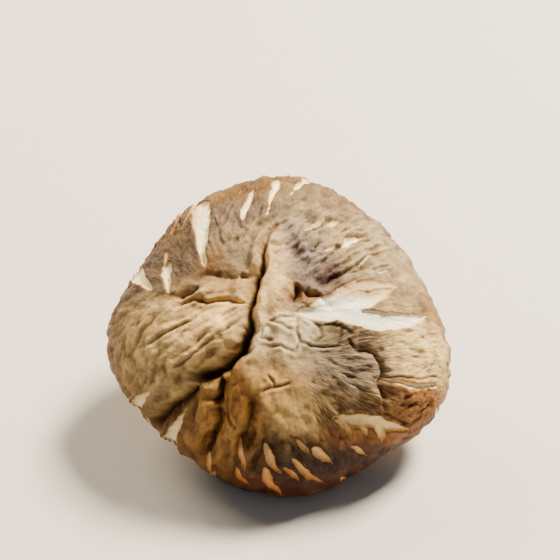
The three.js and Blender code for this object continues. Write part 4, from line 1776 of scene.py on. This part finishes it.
@dataclass
class Stem:
    """The bent, fibrous stem with its torn foot."""

    cap: Cap
    line: tuple[Triple, ...] = (
        (0, 0, 2.6), (-0.2, 0.1, -3.0), (-1.5, 0.7, -8.5), (-2.9, 1.4, -13.2),
        (-3.0, 2.3, -17.2), (-0.7, 3.1, -20.3), (3.2, 3.6, -21.6),
    )
    radii: tuple[float, ...] = (4.7, 4.4, 3.8, 3.5, 3.8, 4.1, 2.9)
    # The closed ends, as places along the line and shares of the full girth there.
    top: tuple[Pair, ...] = ((0.0, 0.0), (0.0, 0.5))
    foot: tuple[Pair, ...] = ((1.0, 0.82), (1.0, 0.6), (1.0, 0.36), (1.0, 0.0))
    foot_rounding: Pair = (0.86, 1.1)
    grooves: tuple[Wave, ...] = (Wave(2, 0.09, 40, 60), Wave(3, 0.05, 150, -80), Wave(7, 0.05, 10, 90))
    groove_start: Pair = (0.12, 0.4)
    groove_shade: float = 6.0
    wrinkles: tuple[Swell, ...] = (Swell(2.0, 13.7, 0.12), Swell(0.8, 6.1, 0.06))
    wrinkle_start: Pair = (0.04, 0.2)
    wrinkle_girth: float = 5.0
    wrinkle_run: float = 9.0
    tear_length: float = 0.35
    tear: Swell = Swell(1.1, 2.9, 0.3)
    fibre_girth: float = 9.0
    fibre_run: float = 5.0
    round_segments: int = 160
    rows: int = 200
    seam: float = 0.3

    def directions(self, along: Field) -> tuple[Field, Field, Field]:
        """Finds which way the stem's line runs.

        Args:
            along: Shares of its length.

        Returns:
            The direction ahead, and two directions square to it and to each other.
        """
        step = 0.004
        ahead = spline(self.line, np.minimum(along + step, 1))
        ahead -= spline(self.line, np.maximum(along - step, 0))
        ahead /= np.linalg.norm(ahead, axis=1)[:, None]
        across = np.array((0.0, 1.0, 0.0)) - ahead * ahead[:, 1:2]
        across /= np.linalg.norm(across, axis=1)[:, None]
        return ahead, across, np.cross(ahead, across)

    def build(self, material: bpy.types.Material) -> bpy.types.Object:
        """Draws a tube along the stem's bent line and closes both ends.

        Args:
            material: The stem's finish.

        Returns:
            The stem.
        """
        middle = [(share, 1.0) for share in np.linspace(0, 1, self.rows)]
        stations = np.array([*self.top, *middle, *self.foot])
        mesh, column, row = unit_grid(self.round_segments, len(stations) - 1, "stem_surface")
        angle = column % self.round_segments / self.round_segments * FULL_TURN
        along, fullness = stations[row].T

        wrapped = around(angle, self.wrinkle_girth, along * self.wrinkle_run)
        wrinkle = swelling(self.wrinkles, wrapped)
        groove = sum(wave.at(angle, along) for wave in self.grooves)
        groove = ramp(along, *self.groove_start) * groove + ramp(along, *self.wrinkle_start) * wrinkle
        rounding = np.sqrt(1 - ramp(along, *self.foot_rounding) ** 2)
        girth = spline([(radius,) for radius in self.radii], along)[:, 0]
        radius = girth * rounding * fullness * (1 + groove)
        torn = (1 - fullness) * (along > 0.5) * (self.tear_length + self.tear.at(wrapped))
        ahead, across, beside = self.directions(along)
        spoke = np.cos(angle)[:, None] * across + np.sin(angle)[:, None] * beside
        places = spline(self.line, along) + radius[:, None] * spoke + torn[:, None] * ahead
        ceiling = self.cap.ceiling(np.hypot(places[:, 0], places[:, 1])) - self.seam
        places[:, 2] = np.minimum(places[:, 2], ceiling)
        paint(mesh, "along", along)
        # Painted shade in the grooves, for the finish to read.
        paint(mesh, "crevice_shade", np.clip(-groove * self.groove_shade, 0, 1))
        paint(mesh, "fibre_place", around(angle, self.fibre_girth, along * self.fibre_run))
        move(mesh, self.cap.pose.placed(*close_grid(mesh, places).T))
        return place_piece("stem", mesh, material)


@dataclass(frozen=True)
class Light:
    """One soft square light: its place and side in metres, its power in watts and its colour."""

    name: str
    place: Triple
    size: float
    energy: float
    tone: Tone

    def hang(self, aim: Triple) -> None:
        """Hangs the light.

        Args:
            aim: The place that it faces, in metres.
        """
        lamp = bpy.data.lights.new(self.name, "AREA")
        lamp.size = self.size
        lamp.energy = self.energy
        lamp.color = linear(*self.tone)[:3]
        light = bpy.data.objects.new(self.name, lamp)
        light.location = self.place
        light.rotation_euler = (Vector(aim) - Vector(self.place)).to_track_quat("-Z", "Y").to_euler()
        bpy.context.scene.collection.objects.link(light)


@dataclass
class Studio:
    """A pale table top, soft lights and the camera."""

    floor_size: float = 2.0
    floor_tone: Tone = (192, 190, 186)
    floor_roughness: float = 0.7
    lights: tuple[Light, ...] = (
        Light("window", (0.25, 0.20, 0.50), 0.16, 18.0, (255, 240, 212)),
        Light("far_window", (-0.34, 0.32, 0.38), 0.30, 5.0, (255, 234, 200)),
    )
    air_tone: Tone = (246, 247, 250)
    air_strength: float = 0.24
    aim: Triple = (0.00022, 0.004415, 0.02391)
    distance: float = 0.205
    elevation: float = math.radians(40)
    lens: float = 85.0

    def build_floor(self) -> None:
        """Lays the table top."""
        bm = bmesh.new()
        bmesh.ops.create_grid(bm, x_segments=1, y_segments=1, size=self.floor_size / 2)
        mesh = new_mesh("table_top", bm)
        material, _, shader = new_material("table_top")
        shader.inputs["Base Color"].default_value = linear(*self.floor_tone)
        shader.inputs["Roughness"].default_value = self.floor_roughness
        mesh.materials.append(material)
        floor = bpy.data.objects.new("table_top", mesh)
        bpy.context.scene.collection.objects.link(floor)

    def build(self) -> None:
        """Sets up the floor, the lights, the air and the camera."""
        self.build_floor()
        for light in self.lights:
            light.hang(self.aim)
        world = bpy.data.worlds.new("soft_air")
        world.use_nodes = True
        background = world.node_tree.nodes["Background"]
        background.inputs["Color"].default_value = linear(*self.air_tone)
        background.inputs["Strength"].default_value = self.air_strength
        bpy.context.scene.world = world

        camera = bpy.data.objects.new("camera", bpy.data.cameras.new("camera"))
        camera.data.lens = self.lens
        camera.data.clip_start = 0.01
        back = Vector((0, -math.cos(self.elevation), math.sin(self.elevation)))
        camera.location = Vector(self.aim) + self.distance * back
        camera.rotation_euler = (-back).to_track_quat("-Z", "Y").to_euler()
        bpy.context.scene.collection.objects.link(camera)
        bpy.context.scene.camera = camera


def main() -> None:
    """Builds the studio and every piece of the mushroom."""
    logging.basicConfig(level=logging.INFO, format="%(message)s")
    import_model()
    Studio().build()
    shared = SharedEffects.make()
    cap = Cap()
    cap.build(CapFinish().material(shared))
    Gills(cap).build(GillFinish().material(shared))
    Stem(cap).build(StemFinish().material(shared))


if __name__ == "__main__":
    main()
